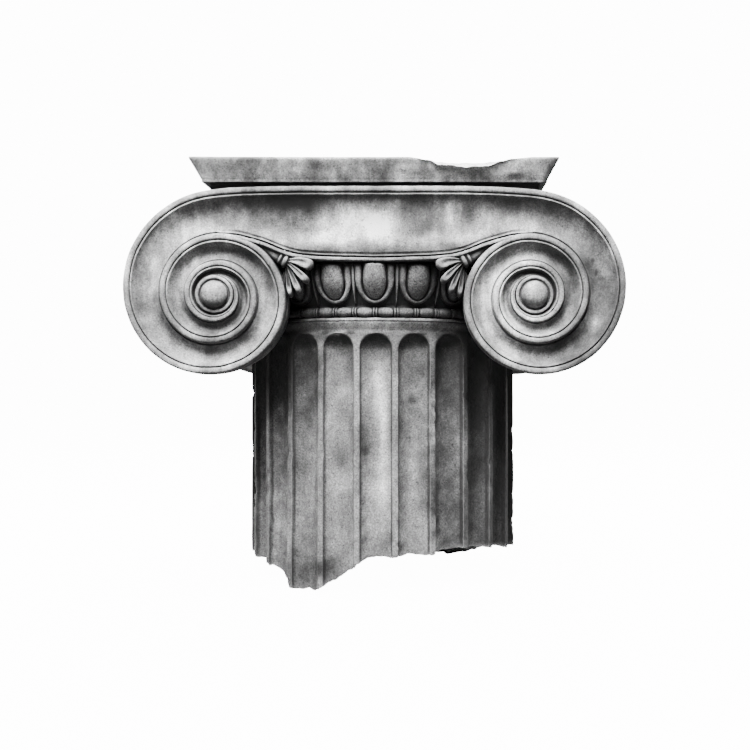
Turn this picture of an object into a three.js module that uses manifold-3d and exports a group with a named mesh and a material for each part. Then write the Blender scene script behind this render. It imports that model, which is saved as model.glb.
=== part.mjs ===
// The top of a fluted stone column with its Ionic capital, in millimetres, +Z up.
// Two stones: a broken length of fluted shaft, and the carved capital that rests on it.
// The origin is on the column's axis, at the level the broken end stands on; -Y is the front.
import * as THREE from "three";
import { mergeVertices } from "three/addons/utils/BufferGeometryUtils.js";
import Module from "manifold-3d";

const wasm = await Module();
wasm.setup();

// Shaft
const shaftRadius = 300;
const shaftTaper = 2;
const shaftTop = 556;
const neckHeight = 24;
const fluteCount = 24;
const filletWidth = 11.5;
const fluteDepth = 24;
const neckFlare = 12;
const neckFlareHeight = 20;
// The broken rim: degrees round from the front towards +X, then its height above the ground.
const breakRim = [
  [-115, 14], [-100, 40], [-88, 49], [-51, 49], [-43, 38], [-40.5, 17], [-36, 7], [-34, 0], [-31, 8],
  [-26.5, 8], [-23, 15], [-20.5, 26], [-16, 38], [-12.5, 52], [-10, 57], [-7, 75], [-3, 82], [6, 85],
  [13, 88], [18, 87], [22.5, 94], [25.5, 95], [28, 100], [34, 100], [42, 93], [56, 87], [78, 68],
  [94, 62], [108, 66], [120, 34], [131, 6], [136, 0], [234, 0], [240, 5],
];
// Where the broken underside bears on the ground: degrees round, then how fully.
const bearings = [
  [-115, 0.4], [-108, 0], [-52, 0], [-42, 1], [-31, 1], [-25, 0], [122, 0], [136, 1], [234, 1],
];
const bearingOuter = 0.88;
const bearingInner = 0.78;
const vaultShare = 0.5;
const vaultHeight = 110;

// Capital: the volute's eye and the canalis, measured from the joint and the shaft's face
const jointGap = 0.3;
const eyeOut = 15.5;
const eyeRise = 49.5;
const faceOut = 50;
const canalisRise = 264.5;
const eyeX = shaftRadius + eyeOut;
const eyeHeight = shaftTop + eyeRise;
const faceDepth = shaftRadius + faceOut;
const plateThickness = 58;
const canalisTop = shaftTop + canalisRise;
const canalisDroop = 7;
const spiralTurns = 3;
// The spiral's outer radius at each quarter turn from the top, as a share of the first.
const spiralRise = canalisTop - canalisDroop - eyeHeight;
const spiralShares = [
  1, 0.866, 0.755, 0.673, 0.58, 0.52, 0.465, 0.397, 0.322, 0.286, 0.261, 0.226, 0.182,
];
const borderWidth = 18;
const edgeDrop = 12;
const channelDepth = 22;
const lowerRidgeWidth = 10;
// The lower edge of the canalis: share of the way out to the eye, then share of the sag.
const canalisSag = 56;
const sagCurve = [[0, 1.01], [0.361, 0.945], [0.536, 0.81], [0.72, 0.42], [1, 0]];
const bossRadius = 27;
const bossRise = 17;

// Bolsters: the scrolls that join the front volutes to the back ones
const bolsterPinch = 0.78;
const beltHalfWidth = 58;
const beltRise = 0.06;
const shaftClearance = 7;

// Abacus
const abacusOut = 62;
const abacusSlope = 21;
const abacusRecess = 14;
const abacusGap = 7.5;
const abacusHeight = 46;
const abacusFillet = 5.5;
const abacusEdge = 3.5;
const abacusHalf = shaftRadius + abacusOut;
const abacusBottom = canalisTop + abacusGap;
const abacusTop = abacusBottom + abacusHeight;
const abacusBottomHalf = abacusHalf - abacusSlope;
const abacusNeckHalf = abacusBottomHalf - abacusRecess;
// The chip in the front top edge: place along it, how deep, and how far back it runs.
const chipProfile = [
  [72, 0.5, 4], [112, 9, 34], [124, 17, 52], [168, 19, 64],
  [222, 18.5, 58], [246, 9, 40], [282, 3, 20], [306, 0.5, 4],
];

// Echinus with eggs and darts, and the astragal of beads and reels below it.
// The back is plainer: it has the eggs and the roll, without shells, darts, beads and palmettes.
const astragalFilletHeight = 6;
const astragalOut = 11;
const astragalRise = 17.5;
const echinusGap = 11.5;
const echinusHeight = 105;
const groundOut = 2;
const astragalRadius = shaftRadius + astragalOut;
const astragalHeight = shaftTop + astragalRise;
const beadRadius = 9.8;
const rollRadius = 7;
const beadsPerEgg = 2;
const beadsEachSide = 5;
const beadShare = 0.76;
const reelHalf = 2.4;
const echinusBottom = astragalHeight + echinusGap;
const echinusTop = echinusBottom + echinusHeight;
const groundRadius = shaftRadius + groundOut;
const groundSwell = 27;
const eggCount = 24;
const eggsEachSide = 2;
const eggHalfWidth = 24;
const eggBelly = 25;
const shellHalfWidth = 33;
const shellBand = 10;
const shellRise = 13;
const dartHalfWidth = 5.5;

// Palmettes in the corners between volute and canalis
const leafCount = 5;
const leafLength = 58;
const leafWidth = 15;
const leafFirstTurn = 178;
const leafLastTurn = 262;
const stemRun = 74;
const stemLift = 40;
const palmetteIn = 140;
const palmetteRise = 67;
const palmetteX = eyeX - palmetteIn;
const palmetteHeight = eyeHeight + palmetteRise;

const stoneShaft = new THREE.MeshStandardMaterial({ color: 0x8f8f8d, roughness: 0.82, metalness: 0 });
const stoneCapital = new THREE.MeshStandardMaterial({ color: 0x9b9b99, roughness: 0.78, metalness: 0 });

const vec = (x, y, z) => new THREE.Vector3(x, y, z);
const ease = (x) => {
  const c = Math.min(1, Math.max(0, x));
  return c * c * (3 - 2 * c);
};
const mix = (a, b, t) => a + (b - a) * t;

// A Catmull-Rom curve through evenly spaced values, read at any place along them.
function smoothList(values, at) {
  const last = values.length - 1;
  const i = Math.min(last - 1, Math.max(0, Math.floor(at)));
  const f = at - i;
  const p1 = values[i];
  const p2 = values[i + 1];
  const p0 = i > 0 ? values[i - 1] : 2 * p1 - p2;
  const p3 = i + 2 <= last ? values[i + 2] : 2 * p2 - p1;
  return 0.5 * (2 * p1 + (p2 - p0) * f + (2 * p0 - 5 * p1 + 4 * p2 - p3) * f * f
    + (3 * p1 - p0 - 3 * p2 + p3) * f * f * f);
}

// Straight lines between [place, value] pairs.
function lineList(pairs, at) {
  for (let i = 1; i < pairs.length; i++) {
    const [a, va] = pairs[i - 1];
    const [b, vb] = pairs[i];
    if (at <= b) return mix(va, vb, Math.max(0, (at - a) / (b - a)));
  }
  return pairs[pairs.length - 1][1];
}

// A closed solid from triangles, turned to face outwards.
function solidOf(triangles) {
  const flat = [];
  for (const t of triangles) for (const p of t) flat.push(p.x, p.y, p.z);
  const geometry = new THREE.BufferGeometry();
  geometry.setAttribute("position", new THREE.Float32BufferAttribute(flat, 3));
  const merged = mergeVertices(geometry, 1e-3);
  const index = merged.index.array;
  const kept = [];
  for (let i = 0; i < index.length; i += 3) {
    const [a, b, c] = [index[i], index[i + 1], index[i + 2]];
    if (a !== b && b !== c && a !== c) kept.push(a, b, c);
  }
  const build = (order) => new wasm.Manifold(new wasm.Mesh({
    numProp: 3, vertProperties: merged.attributes.position.array, triVerts: new Uint32Array(order),
  }));
  const made = build(kept);
  if (made.volume() > 0) return made;
  const turned = [];
  for (let i = 0; i < kept.length; i += 3) turned.push(kept[i], kept[i + 2], kept[i + 1]);
  return build(turned);
}

function solidOfGeometry(geometry, matrix = new THREE.Matrix4()) {
  const loose = geometry.index ? geometry.toNonIndexed() : geometry;
  const position = loose.getAttribute("position");
  const triangles = [];
  for (let i = 0; i < position.count; i += 3) {
    const corners = [0, 1, 2].map((k) => vec().fromBufferAttribute(position, i + k).applyMatrix4(matrix));
    triangles.push(corners);
  }
  return solidOf(triangles);
}

function geometryOf(solid) {
  const mesh = solid.getMesh();
  const geometry = new THREE.BufferGeometry();
  geometry.setAttribute("position", new THREE.BufferAttribute(new Float32Array(mesh.vertProperties), 3));
  geometry.setIndex(new THREE.BufferAttribute(new Uint32Array(mesh.triVerts), 1));
  geometry.computeVertexNormals();
  return geometry;
}

const quad = (list, a, b, c, d) => list.push([a, b, c], [a, c, d]);

// A solid through closed loops of equal length, with a fanned cap at each end.
function loft(loops, startMiddle) {
  const triangles = [];
  const n = loops[0].length;
  for (let i = 1; i < loops.length; i++) {
    for (let k = 0; k < n; k++) {
      const m = (k + 1) % n;
      quad(triangles, loops[i - 1][k], loops[i - 1][m], loops[i][m], loops[i][k]);
    }
  }
  const middle = (loop) => loop.reduce((sum, p) => sum.add(p), vec(0, 0, 0)).divideScalar(n);
  const [first, last] = [loops[0], loops[loops.length - 1]];
  const [start, end] = [startMiddle ?? middle(first), middle(last)];
  for (let k = 0; k < n; k++) {
    const m = (k + 1) % n;
    triangles.push([start, first[m], first[k]], [end, last[k], last[m]]);
  }
  return solidOf(triangles);
}

// Shaft: one column of points per flute share, so that edges stay crisp.
const fluteHalf = (Math.PI * shaftRadius) / fluteCount - filletWidth / 2;
const fluteShares = [-1, -0.62, 0, 0.62, 1];

const fluteTop = shaftTop - neckHeight;

function shaftPoint(angle, depth, height) {
  const flare = neckFlare * ease((height - (shaftTop - neckFlareHeight)) / neckFlareHeight);
  const taper = shaftTaper * (1 - height / shaftTop);
  const r = shaftRadius + taper + flare - depth;
  return vec(r * Math.sin(angle), -r * Math.cos(angle), height);
}

function shaftLoop(heightAt, archShare) {
  const loop = [];
  const half = Math.sqrt(1 - archShare * archShare);
  for (let k = 0; k < fluteCount; k++) {
    for (const share of fluteShares) {
      const angle = (2 * Math.PI * k) / fluteCount + (share * half * fluteHalf) / shaftRadius;
      const depth = archShare < 1 ? fluteDepth * half * Math.sqrt(1 - share * share) : 0;
      loop.push(shaftPoint(angle, depth, heightAt(angle)));
    }
  }
  return loop;
}

// A list of [degrees, value] read at any angle, joined up all the way round.
function roundList(pairs, angle) {
  const degrees = THREE.MathUtils.radToDeg(angle);
  const first = pairs[0][0];
  const turned = ((((degrees - first) % 360) + 360) % 360) + first;
  return lineList([...pairs, [first + 360, pairs[0][1]]], turned);
}

function buildShaft() {
  const spring = fluteTop - fluteHalf;
  const rim = shaftLoop((angle) => roundList(breakRim, angle), 0);
  // The underside is hollow in the middle, and level where it bears on the ground.
  const under = (share, rise) => rim.map((p) => {
    const clear = share > vaultShare ? 1 - roundList(bearings, Math.atan2(p.x, -p.y)) : 1;
    return vec(p.x * share, p.y * share, clear * mix(p.z, vaultHeight, rise));
  });
  const arches = [0, 0.55, 0.86, 0.985].map((w) => shaftLoop(() => spring + w * fluteHalf, w));
  const neck = [shaftTop - neckFlareHeight, shaftTop - neckFlareHeight / 3, shaftTop];
  const loops = [
    under(vaultShare, 0.95), under(bearingInner, 0.8), under(bearingOuter, 0.3), rim,
    ...arches, ...neck.map((height) => shaftLoop(() => height, 1)),
  ];
  return loft(loops, vec(0, 0, vaultHeight));
}

// Volutes and canalis
const spiralRadius = (turns) => spiralRise * smoothList(spiralShares, Math.min(turns, spiralTurns) * 4);
const borderScale = (turns) => 1 - 0.02 * turns - 0.052 * turns * turns;
const facePoint = (x, height, rise) => vec(x, -(faceDepth + rise), height);

// The carved section from a turn's outer edge inwards: distance in, then height to the crest.
function ribbonSection(width, scale) {
  const border = Math.min(borderWidth * scale, 0.8 * width);
  const channel = width - border * 1.08;
  const fade = Math.min(1, width / (borderWidth * scale));
  const deep = mix(edgeDrop, channelDepth, Math.min(1, width / 60));
  const broad = width > narrowRibbon;
  const points = [
    [0, -edgeDrop],
    [border * (broad ? 0.38 : 0.5), 0],
    [border * (broad ? 0.92 : 0.5), broad ? -1 : 0],
    [border * 1.08, -7],
    [border * 1.08 + channel * (broad ? 0.42 : 0.55), -deep],
    [border * 1.08 + channel * (broad ? 0.78 : 0.55), -deep * (broad ? 0.9 : 1)],
  ];
  return points.map(([e, h]) => [e, -edgeDrop + fade * (h + edgeDrop)]);
}

const narrowRibbon = 48;
const turnSteps = 18;
const canalisSteps = 6;

function voluteSolid() {
  const rows = [];
  const total = turnSteps * spiralTurns;
  const eyeRing = [];
  const eyeRadius = spiralRadius(spiralTurns);
  const place = (angle, r, rise) =>
    facePoint(eyeX + r * Math.sin(angle), eyeHeight + r * Math.cos(angle), rise);
  const stepAngle = (i) => (2 * Math.PI * i) / turnSteps;
  for (let i = 0; i < turnSteps; i++) eyeRing.push(place(stepAngle(i), eyeRadius, -edgeDrop));
  for (let i = 0; i <= total; i++) {
    const turns = i / turnSteps;
    const outer = spiralRadius(turns);
    const section = ribbonSection(outer - spiralRadius(turns + 1), borderScale(turns));
    rows.push(section.map(([e, h]) => place(stepAngle(i), outer - e, h)));
  }
  const closing = (i) => (i + turnSteps <= total ? rows[i + turnSteps][0] : eyeRing[i % turnSteps]);
  const full = rows.map((row, i) => [...row, closing(i)]);
  const triangles = [];
  for (let i = 0; i < total; i++) {
    for (let j = 0; j + 1 < full[i].length; j++) {
      quad(triangles, full[i][j], full[i + 1][j], full[i + 1][j + 1], full[i][j + 1]);
    }
  }
  // The eye: a ring, then the boss.
  const eyeSteps = [[1, -edgeDrop], [0.9, -2], [bossRadius / eyeRadius, -8], [0.45, bossRise * 0.6]];
  const loops = eyeSteps.map(([share, rise]) =>
    eyeRing.map((_, i) => place(stepAngle(i), eyeRadius * share, rise)));
  const tip = place(0, 0, bossRise);
  for (let i = 0; i < turnSteps; i++) {
    const m = (i + 1) % turnSteps;
    for (let k = 1; k < loops.length; k++) {
      quad(triangles, loops[k - 1][i], loops[k - 1][m], loops[k][m], loops[k][i]);
    }
    triangles.push([loops[loops.length - 1][i], loops[loops.length - 1][m], tip]);
  }
  const outline = full.slice(0, turnSteps + 1).map((row) => row[0]);
  const backEdge = full[0].slice(1, -1).reverse();
  closeBehind(triangles, [...outline, ...backEdge]);
  return solidOf(triangles);
}

// Side walls behind a relief's edge, and a flat back.
function closeBehind(triangles, edge) {
  const back = edge.map((p) => vec(p.x, -(faceDepth - plateThickness), p.z));
  for (let i = 0; i < edge.length; i++) {
    const m = (i + 1) % edge.length;
    quad(triangles, edge[m], edge[i], back[i], back[m]);
  }
  const flat = back.map((p) => new THREE.Vector2(p.x, p.z));
  const way = Math.sign(THREE.ShapeUtils.area(flat));
  for (const [a, b, c] of THREE.ShapeUtils.triangulateShape(flat, [])) {
    const same = Math.sign(THREE.ShapeUtils.area([flat[a], flat[b], flat[c]])) === way;
    triangles.push(same ? [back[a], back[c], back[b]] : [back[a], back[b], back[c]]);
  }
}

const canalisUpper = (share) => canalisTop - canalisDroop * share ** 5;
const canalisLower = (share) => {
  const top = eyeHeight + spiralRadius(1);
  const places = sagCurve.map(([x, sag]) => new THREE.Vector2(x, top - canalisSag * sag));
  const curve = new THREE.SplineCurve(places);
  let low = 0;
  let high = 1;
  for (let i = 0; i < 30; i++) {
    const middle = (low + high) / 2;
    if (curve.getPoint(middle).x < share) low = middle;
    else high = middle;
  }
  return curve.getPoint(low).y;
};

function canalisSolid() {
  const rows = [];
  for (let i = 0; i <= canalisSteps; i++) {
    const share = i / canalisSteps;
    const upper = canalisUpper(share);
    const lower = i < canalisSteps ? canalisLower(share) : eyeHeight + spiralRadius(1);
    const grow = i < canalisSteps ? ease((1 - share) / 0.3) : 0;
    const ridge = lowerRidgeWidth * grow;
    const width = upper - lower;
    const section = ribbonSection(width - ridge, 1);
    const tail = [[1, -edgeDrop - 2], [0.72, -2], [0.2, -3], [0, -edgeDrop]];
    for (const [e, h] of tail) section.push([width - ridge * e, -edgeDrop + grow * (h + edgeDrop)]);
    rows.push(section.map(([e, h]) => facePoint(eyeX * share, upper - e, h)));
  }
  const triangles = [];
  const last = rows[0].length - 1;
  for (let i = 0; i < canalisSteps; i++) {
    for (let j = 0; j < last; j++) {
      quad(triangles, rows[i][j], rows[i + 1][j], rows[i + 1][j + 1], rows[i][j + 1]);
    }
  }
  const edge = [
    ...rows.map((row) => row[0]),
    ...rows[canalisSteps].slice(1, -4),
    ...rows.map((row) => row[last]).reverse(),
    ...rows[0].slice(1, last).reverse(),
  ];
  closeBehind(triangles, edge);
  return solidOf(triangles);
}

// Bolster: the volute's outline drawn in towards the middle, where a belt holds it.
function bolsterSolid() {
  const reach = faceDepth - plateThickness + 2;
  const waist = (y) => mix(bolsterPinch, 1, (Math.abs(y) / reach) ** 2.2);
  const stations = [1, 0.8, 0.52, beltHalfWidth / reach + 0.01].map((s) => [s * reach, waist(s * reach)]);
  stations.push([beltHalfWidth, bolsterPinch + beltRise]);
  const ordered = [...stations, ...stations.map(([y, s]) => [-y, s]).reverse()];
  const outline = [];
  for (let i = 0; i <= turnSteps; i++) {
    const angle = (2 * Math.PI * i) / turnSteps;
    outline.push([angle, spiralRadius(i / turnSteps)]);
  }
  return loft(ordered.map(([y, s]) =>
    outline.map(([a, r]) => vec(eyeX + s * r * Math.sin(a), y, eyeHeight + s * r * Math.cos(a)))));
}

function squareLoop(halfX, halfY, height) {
  return [[-1, -1], [1, -1], [1, 1], [-1, 1]].map(([x, y]) => vec(x * halfX, y * halfY, height));
}

function abacusSolid() {
  const slab = loft([
    squareLoop(abacusNeckHalf, abacusNeckHalf, canalisTop - 30),
    squareLoop(abacusNeckHalf, abacusNeckHalf, abacusBottom),
    squareLoop(abacusBottomHalf, abacusBottomHalf, abacusBottom + 0.5),
    squareLoop(abacusBottomHalf, abacusBottomHalf, abacusBottom + abacusFillet),
    squareLoop(abacusHalf, abacusHalf, abacusTop - abacusEdge),
    squareLoop(abacusHalf, abacusHalf, abacusTop),
  ]);
  const front = -abacusHalf - 10;
  const chip = chipProfile.map(([x, deep, run]) => [
    vec(x, front, abacusTop - deep),
    vec(x, -abacusHalf, abacusTop - deep),
    vec(x, -abacusHalf + run * 0.55, abacusTop - deep * 0.62),
    vec(x, -abacusHalf + run, abacusTop + 1),
    vec(x, front, abacusTop + 30),
  ]);
  return slab.subtract(loft(chip));
}

// Echinus
const groundAt = (height) => {
  const share = Math.min(1, Math.max(0, (height - echinusBottom) / (echinusTop - echinusBottom)));
  return groundRadius + groundSwell * Math.sin((share * Math.PI) / 2);
};

function echinusSolid() {
  const bottom = shaftTop + jointGap;
  const seat = astragalRadius - 4;
  const profile = [
    [0, bottom],
    [astragalRadius + 3, bottom],
    [astragalRadius + 3, bottom + astragalFilletHeight],
    [seat, astragalHeight - rollRadius],
    [seat + rollRadius * 0.9, astragalHeight - rollRadius * 0.6],
    [seat + rollRadius * 0.9, astragalHeight + rollRadius * 0.6],
    [seat, astragalHeight + rollRadius],
    [groundAt(echinusBottom), echinusBottom],
    [groundAt(mix(echinusBottom, echinusTop, 0.4)), mix(echinusBottom, echinusTop, 0.4)],
    [groundAt(echinusTop), echinusTop],
    [0, echinusTop],
  ].map(([r, z]) => new THREE.Vector2(r, z));
  const lathe = new THREE.LatheGeometry(profile, 36);
  return solidOfGeometry(lathe, new THREE.Matrix4().makeRotationX(Math.PI / 2));
}

const aroundPoint = (angle, across, height, out) => {
  const turned = angle + across / astragalRadius;
  const r = groundAt(height) + out;
  return vec(r * Math.sin(turned), -r * Math.cos(turned), height);
};

function eggSolid(angle) {
  const fatness = (share) =>
    share < 0.65 ? Math.sin((Math.PI / 2) * Math.sqrt(share / 0.65)) : 1 - 0.25 * (share - 0.65);
  return loft([0.02, 0.28, 0.62, 1].map((share) => {
    const height = mix(echinusBottom + 12, echinusTop - 6, share);
    const fat = fatness(share);
    const front = [-1, -0.72, 0, 0.72, 1].map((across) => {
      const out = eggBelly * fat * Math.sqrt(1 - across * across) - 2;
      return aroundPoint(angle, across * eggHalfWidth * fat, height, out);
    });
    return [...front, aroundPoint(angle, 0, height, -20)];
  }));
}

function shellSolid(angle) {
  const spring = mix(echinusBottom, echinusTop, 0.56);
  const drop = spring - echinusBottom - 8;
  const path = [];
  for (const share of [-1, -0.6, 0, 0.6, 1]) {
    const turn = (share * Math.PI) / 2;
    path.push([shellHalfWidth * Math.sin(turn), spring - drop * Math.cos(turn)]);
  }
  const ends = [[-shellHalfWidth, echinusTop - 6], [shellHalfWidth, echinusTop - 6]];
  const full = [ends[0], ...path, ends[1]];
  const loops = full.map(([across, height]) => {
    const inwards = [-across, Math.max(0, spring - height)];
    const size = Math.hypot(...inwards) || 1;
    const step = [(inwards[0] / size) * shellBand, (inwards[1] / size) * shellBand];
    return [
      aroundPoint(angle, across, height, -8),
      aroundPoint(angle, across, height, shellRise * 0.6),
      aroundPoint(angle, across + step[0] * 0.6, height + step[1] * 0.6, shellRise),
      aroundPoint(angle, across + step[0], height + step[1], -8),
    ];
  });
  return loft(loops);
}

function dartSolid(angle) {
  const loops = [[echinusBottom + 4, 1.2], [echinusTop - 6, dartHalfWidth]].map(([height, half]) => [
    aroundPoint(angle, -half, height, -8),
    aroundPoint(angle, half, height, -8),
    aroundPoint(angle, 0, height, 6 + half),
  ]);
  return loft(loops);
}

function eggAndDart() {
  const pitch = (2 * Math.PI) / eggCount;
  const pieces = [dartSolid(-(eggsEachSide + 0.5) * pitch)];
  for (let k = -eggsEachSide; k <= eggsEachSide; k++) {
    pieces.push(eggSolid(k * pitch), shellSolid(k * pitch), dartSolid((k + 0.5) * pitch));
    pieces.push(eggSolid(Math.PI + k * pitch));
  }
  return pieces;
}

function beadAndReel() {
  const pitch = (2 * Math.PI) / (eggCount * beadsPerEgg);
  const turnedRound = (profile, angle) => {
    const lathe = new THREE.LatheGeometry(profile.map(([r, y]) => new THREE.Vector2(r, y)), 6);
    const along = new THREE.Matrix4().makeRotationZ(angle + Math.PI / 2);
    const place = new THREE.Matrix4().makeTranslation(
      astragalRadius * Math.sin(angle), -astragalRadius * Math.cos(angle), astragalHeight);
    return solidOfGeometry(lathe, place.multiply(along));
  };
  const half = astragalRadius * pitch * beadShare * 0.5;
  const [end, rim] = [beadRadius * 0.62, beadRadius * 0.92];
  const bead = [[0, -half], [end, -half], [beadRadius, 0], [end, half], [0, half]];
  const reel = [[0, -reelHalf], [rim, -reelHalf], [rim, reelHalf], [0, reelHalf]];
  const pieces = [];
  for (let k = -beadsEachSide; k <= beadsEachSide; k++) {
    pieces.push(turnedRound(reel, k * pitch));
    if (k < beadsEachSide) pieces.push(turnedRound(bead, (k + 0.5) * pitch));
  }
  return pieces;
}

// The palmette at the right of the front; the one at the left is its mirror image.
function palmetteSolids() {
  const root = vec(palmetteX, -(faceDepth - 13), palmetteHeight);
  const stemEnd = vec(palmetteX + stemRun, -(faceDepth - 8), palmetteHeight + stemLift);
  const out = vec(0, -1, 0);
  const taper = (from, to, startHalf, endHalf, rise) => {
    const along = to.clone().sub(from).normalize();
    const across = vec().crossVectors(along, out).normalize();
    const ring = (centre, half) => [
      centre.clone().addScaledVector(across, half),
      centre.clone().addScaledVector(out, rise),
      centre.clone().addScaledVector(across, -half),
      centre.clone().addScaledVector(out, -14),
    ];
    return { along, ring, solid: loft([ring(from, startHalf), ring(to, endHalf)]) };
  };
  const pieces = [taper(root, stemEnd, 9, 2, 7).solid];
  const collar = taper(root.clone().add(vec(-2, 0, -1)), root.clone().add(vec(7, 0, 5)), 13, 13, 11);
  pieces.push(collar.solid);
  for (let i = 0; i < leafCount; i++) {
    const angle = THREE.MathUtils.degToRad(mix(leafFirstTurn, leafLastTurn, i / (leafCount - 1)));
    const length = leafLength * mix(0.95, 1.12, Math.sin((Math.PI * i) / (leafCount - 1)));
    const direction = vec(Math.cos(angle), 0, Math.sin(angle));
    const at = (share, drop) => root.clone().addScaledVector(direction, length * share).add(vec(0, drop, 0));
    const { ring } = taper(root, at(1, 0), 1, 1, 7);
    const rings = [[0.05, 2, 0.2], [0.72, -2, 0.5], [1, 8, 0.16]];
    pieces.push(loft(rings.map(([share, drop, half]) => ring(at(share, drop), leafWidth * half))));
  }
  return pieces;
}

function buildCapital() {
  const mirrored = (solids) => solids.flatMap((s) => [s, s.mirror([1, 0, 0])]);
  const half = wasm.Manifold.union(mirrored([voluteSolid(), canalisSolid()]));
  const bolster = bolsterSolid();
  const blockHalf = faceDepth - plateThickness + 2;
  const block = loft([
    squareLoop(abacusNeckHalf, blockHalf, echinusTop - 4),
    squareLoop(abacusNeckHalf, blockHalf, canalisTop - 1),
  ]);
  const body = wasm.Manifold.union([
    half, half.mirror([0, 1, 0]), bolster, bolster.mirror([1, 0, 0]), block, abacusSolid(), echinusSolid(),
    ...mirrored(palmetteSolids()), ...eggAndDart(), ...beadAndReel(),
  ]);
  // The bolsters hang beside the shaft, so they are hollowed to clear it.
  const clear = new THREE.CylinderGeometry(
    shaftRadius + neckFlare + shaftClearance, shaftRadius + neckFlare + shaftClearance, shaftTop, 48);
  const place = new THREE.Matrix4().makeTranslation(0, 0, shaftTop / 2 + jointGap)
    .multiply(new THREE.Matrix4().makeRotationX(Math.PI / 2));
  return body.subtract(solidOfGeometry(clear, place));
}

const column = new THREE.Group();
const shaft = new THREE.Mesh(geometryOf(buildShaft()), stoneShaft);
shaft.name = "shaft";
const capital = new THREE.Mesh(geometryOf(buildCapital()), stoneCapital);
capital.name = "capital";
column.add(shaft, capital);

export default column;
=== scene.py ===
# The looks of an Ionic capital on the broken top of a fluted shaft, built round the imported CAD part.
# Lengths are millimetres while a shape is worked out, and become metres when its mesh is made.
import math

import bmesh
import bpy
import numpy as np
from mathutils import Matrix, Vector
from mathutils.bvhtree import BVHTree


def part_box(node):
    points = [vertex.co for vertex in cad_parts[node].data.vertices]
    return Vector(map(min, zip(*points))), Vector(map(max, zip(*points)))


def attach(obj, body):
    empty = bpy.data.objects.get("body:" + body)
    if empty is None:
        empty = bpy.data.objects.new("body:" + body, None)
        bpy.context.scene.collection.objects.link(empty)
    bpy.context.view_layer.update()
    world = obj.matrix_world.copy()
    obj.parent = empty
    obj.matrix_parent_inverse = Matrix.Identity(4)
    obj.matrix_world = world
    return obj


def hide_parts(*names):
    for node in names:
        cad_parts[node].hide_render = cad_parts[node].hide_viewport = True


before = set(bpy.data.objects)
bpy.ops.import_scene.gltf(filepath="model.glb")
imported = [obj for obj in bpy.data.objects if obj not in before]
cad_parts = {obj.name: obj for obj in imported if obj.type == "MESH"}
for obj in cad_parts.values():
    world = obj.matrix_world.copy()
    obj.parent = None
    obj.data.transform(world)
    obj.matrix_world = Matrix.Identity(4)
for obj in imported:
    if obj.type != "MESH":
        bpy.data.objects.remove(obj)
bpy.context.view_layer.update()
toMetres = 0.001
shaftHigh, capitalHigh = [np.array(list(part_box(node))[1]) / toMetres for node in ("shaft", "capital")]
neckFlare = 12
joint = shaftHigh[2]
radius = shaftHigh[0] - neckFlare
pieces = []


def ease(x):
    c = np.clip(x, 0, 1)
    return c * c * (3 - 2 * c)


def mix(a, b, t):
    return a + (b - a) * t


# Catmull-Rom through evenly spaced values, read at many places at once.
def smoothValues(values, at):
    v = np.asarray(values, float)
    at = np.asarray(at, float)
    i = np.clip(np.floor(at).astype(int), 0, len(v) - 2)
    f = at - i
    w = np.concatenate([[2 * v[0] - v[1]], v, [2 * v[-1] - v[-2]]])
    a, b, c, d = w[i], w[i + 1], w[i + 2], w[i + 3]
    square = (2 * a - 5 * b + 4 * c - d) * f * f
    return 0.5 * (2 * b + (c - a) * f + square + (3 * b - a - 3 * c + d) * f ** 3)


def hashed(x, y, z, seed):
    h = (x * 374761393 + y * 668265263 + z * 1440662683 + seed * 974634777) & 0xFFFFFFFF
    h = ((h ^ (h >> 13)) * 1274126177) & 0xFFFFFFFF
    return ((h ^ (h >> 16)) & 0xFFFFFF) / 0xFFFFFF * 2 - 1


# Smooth noise from -1 to 1, one value a point, with features of the given size.
def fieldNoise(points, size, seed=0):
    p = points / size + seed * 7.31
    cell = np.floor(p).astype(np.int64)
    f = p - cell
    f = f * f * (3 - 2 * f)
    total = np.zeros(len(points))
    for corner in range(8):
        dx, dy, dz = corner & 1, corner >> 1 & 1, corner >> 2
        weight = (f[:, 0] if dx else 1 - f[:, 0]) * (f[:, 1] if dy else 1 - f[:, 1])
        weight = weight * (f[:, 2] if dz else 1 - f[:, 2])
        total += weight * hashed(cell[:, 0] + dx, cell[:, 1] + dy, cell[:, 2] + dz, seed)
    return total


def roughNoise(points, size, seed=0, octaves=3):
    return sum(fieldNoise(points, size / 2.1 ** k, seed + k) * 0.55 ** k for k in range(octaves))


def gridFaces(rows, cols, closeCols=False, start=0):
    i = np.arange(rows - 1)[:, None]
    j = np.arange(cols if closeCols else cols - 1)[None, :]
    n = (j + 1) % cols
    corners = [i * cols + j, (i + 1) * cols + j, (i + 1) * cols + n, i * cols + n]
    return (np.stack(corners, -1).reshape(-1, 4) + start).tolist()


# Slow settling and small tool marks that all neighbouring surfaces share.
def weathered(points, amount=1.0):
    slow = np.stack([fieldNoise(points, 140, seed) for seed in (1, 2, 3)], -1) * 0.9
    fine = np.stack([fieldNoise(points, 22, seed) for seed in (4, 5, 6)], -1) * 0.35
    return points + (slow + fine) * amount


# A point round the column: distance from its axis, angle from the front, height.
def aroundAxis(r, angle, z):
    return np.stack([r * np.sin(angle), -r * np.cos(angle), z], -1)


def joinParts(parts):
    points, faces, count = [], [], 0
    for part, partFaces in parts:
        points.append(part)
        faces += [[v + count for v in face] for face in partFaces]
        count += len(part)
    return np.concatenate(points), faces


# What a mesh knows of its points, edges or triangles, a row for each.
def meshRows(source, label, width, kind=float):
    values = np.empty(len(source) * width, kind)
    source.foreach_get(label, values)
    return values.reshape(-1, width)


# One number a point, for the material to read.
def keepValues(mesh, label, values):
    layer = mesh.attributes.new(label, "FLOAT", "POINT")
    layer.data.foreach_set("value", np.asarray(values, np.float32))


weldGap = 2e-5
leastEdge = 1e-5


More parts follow.
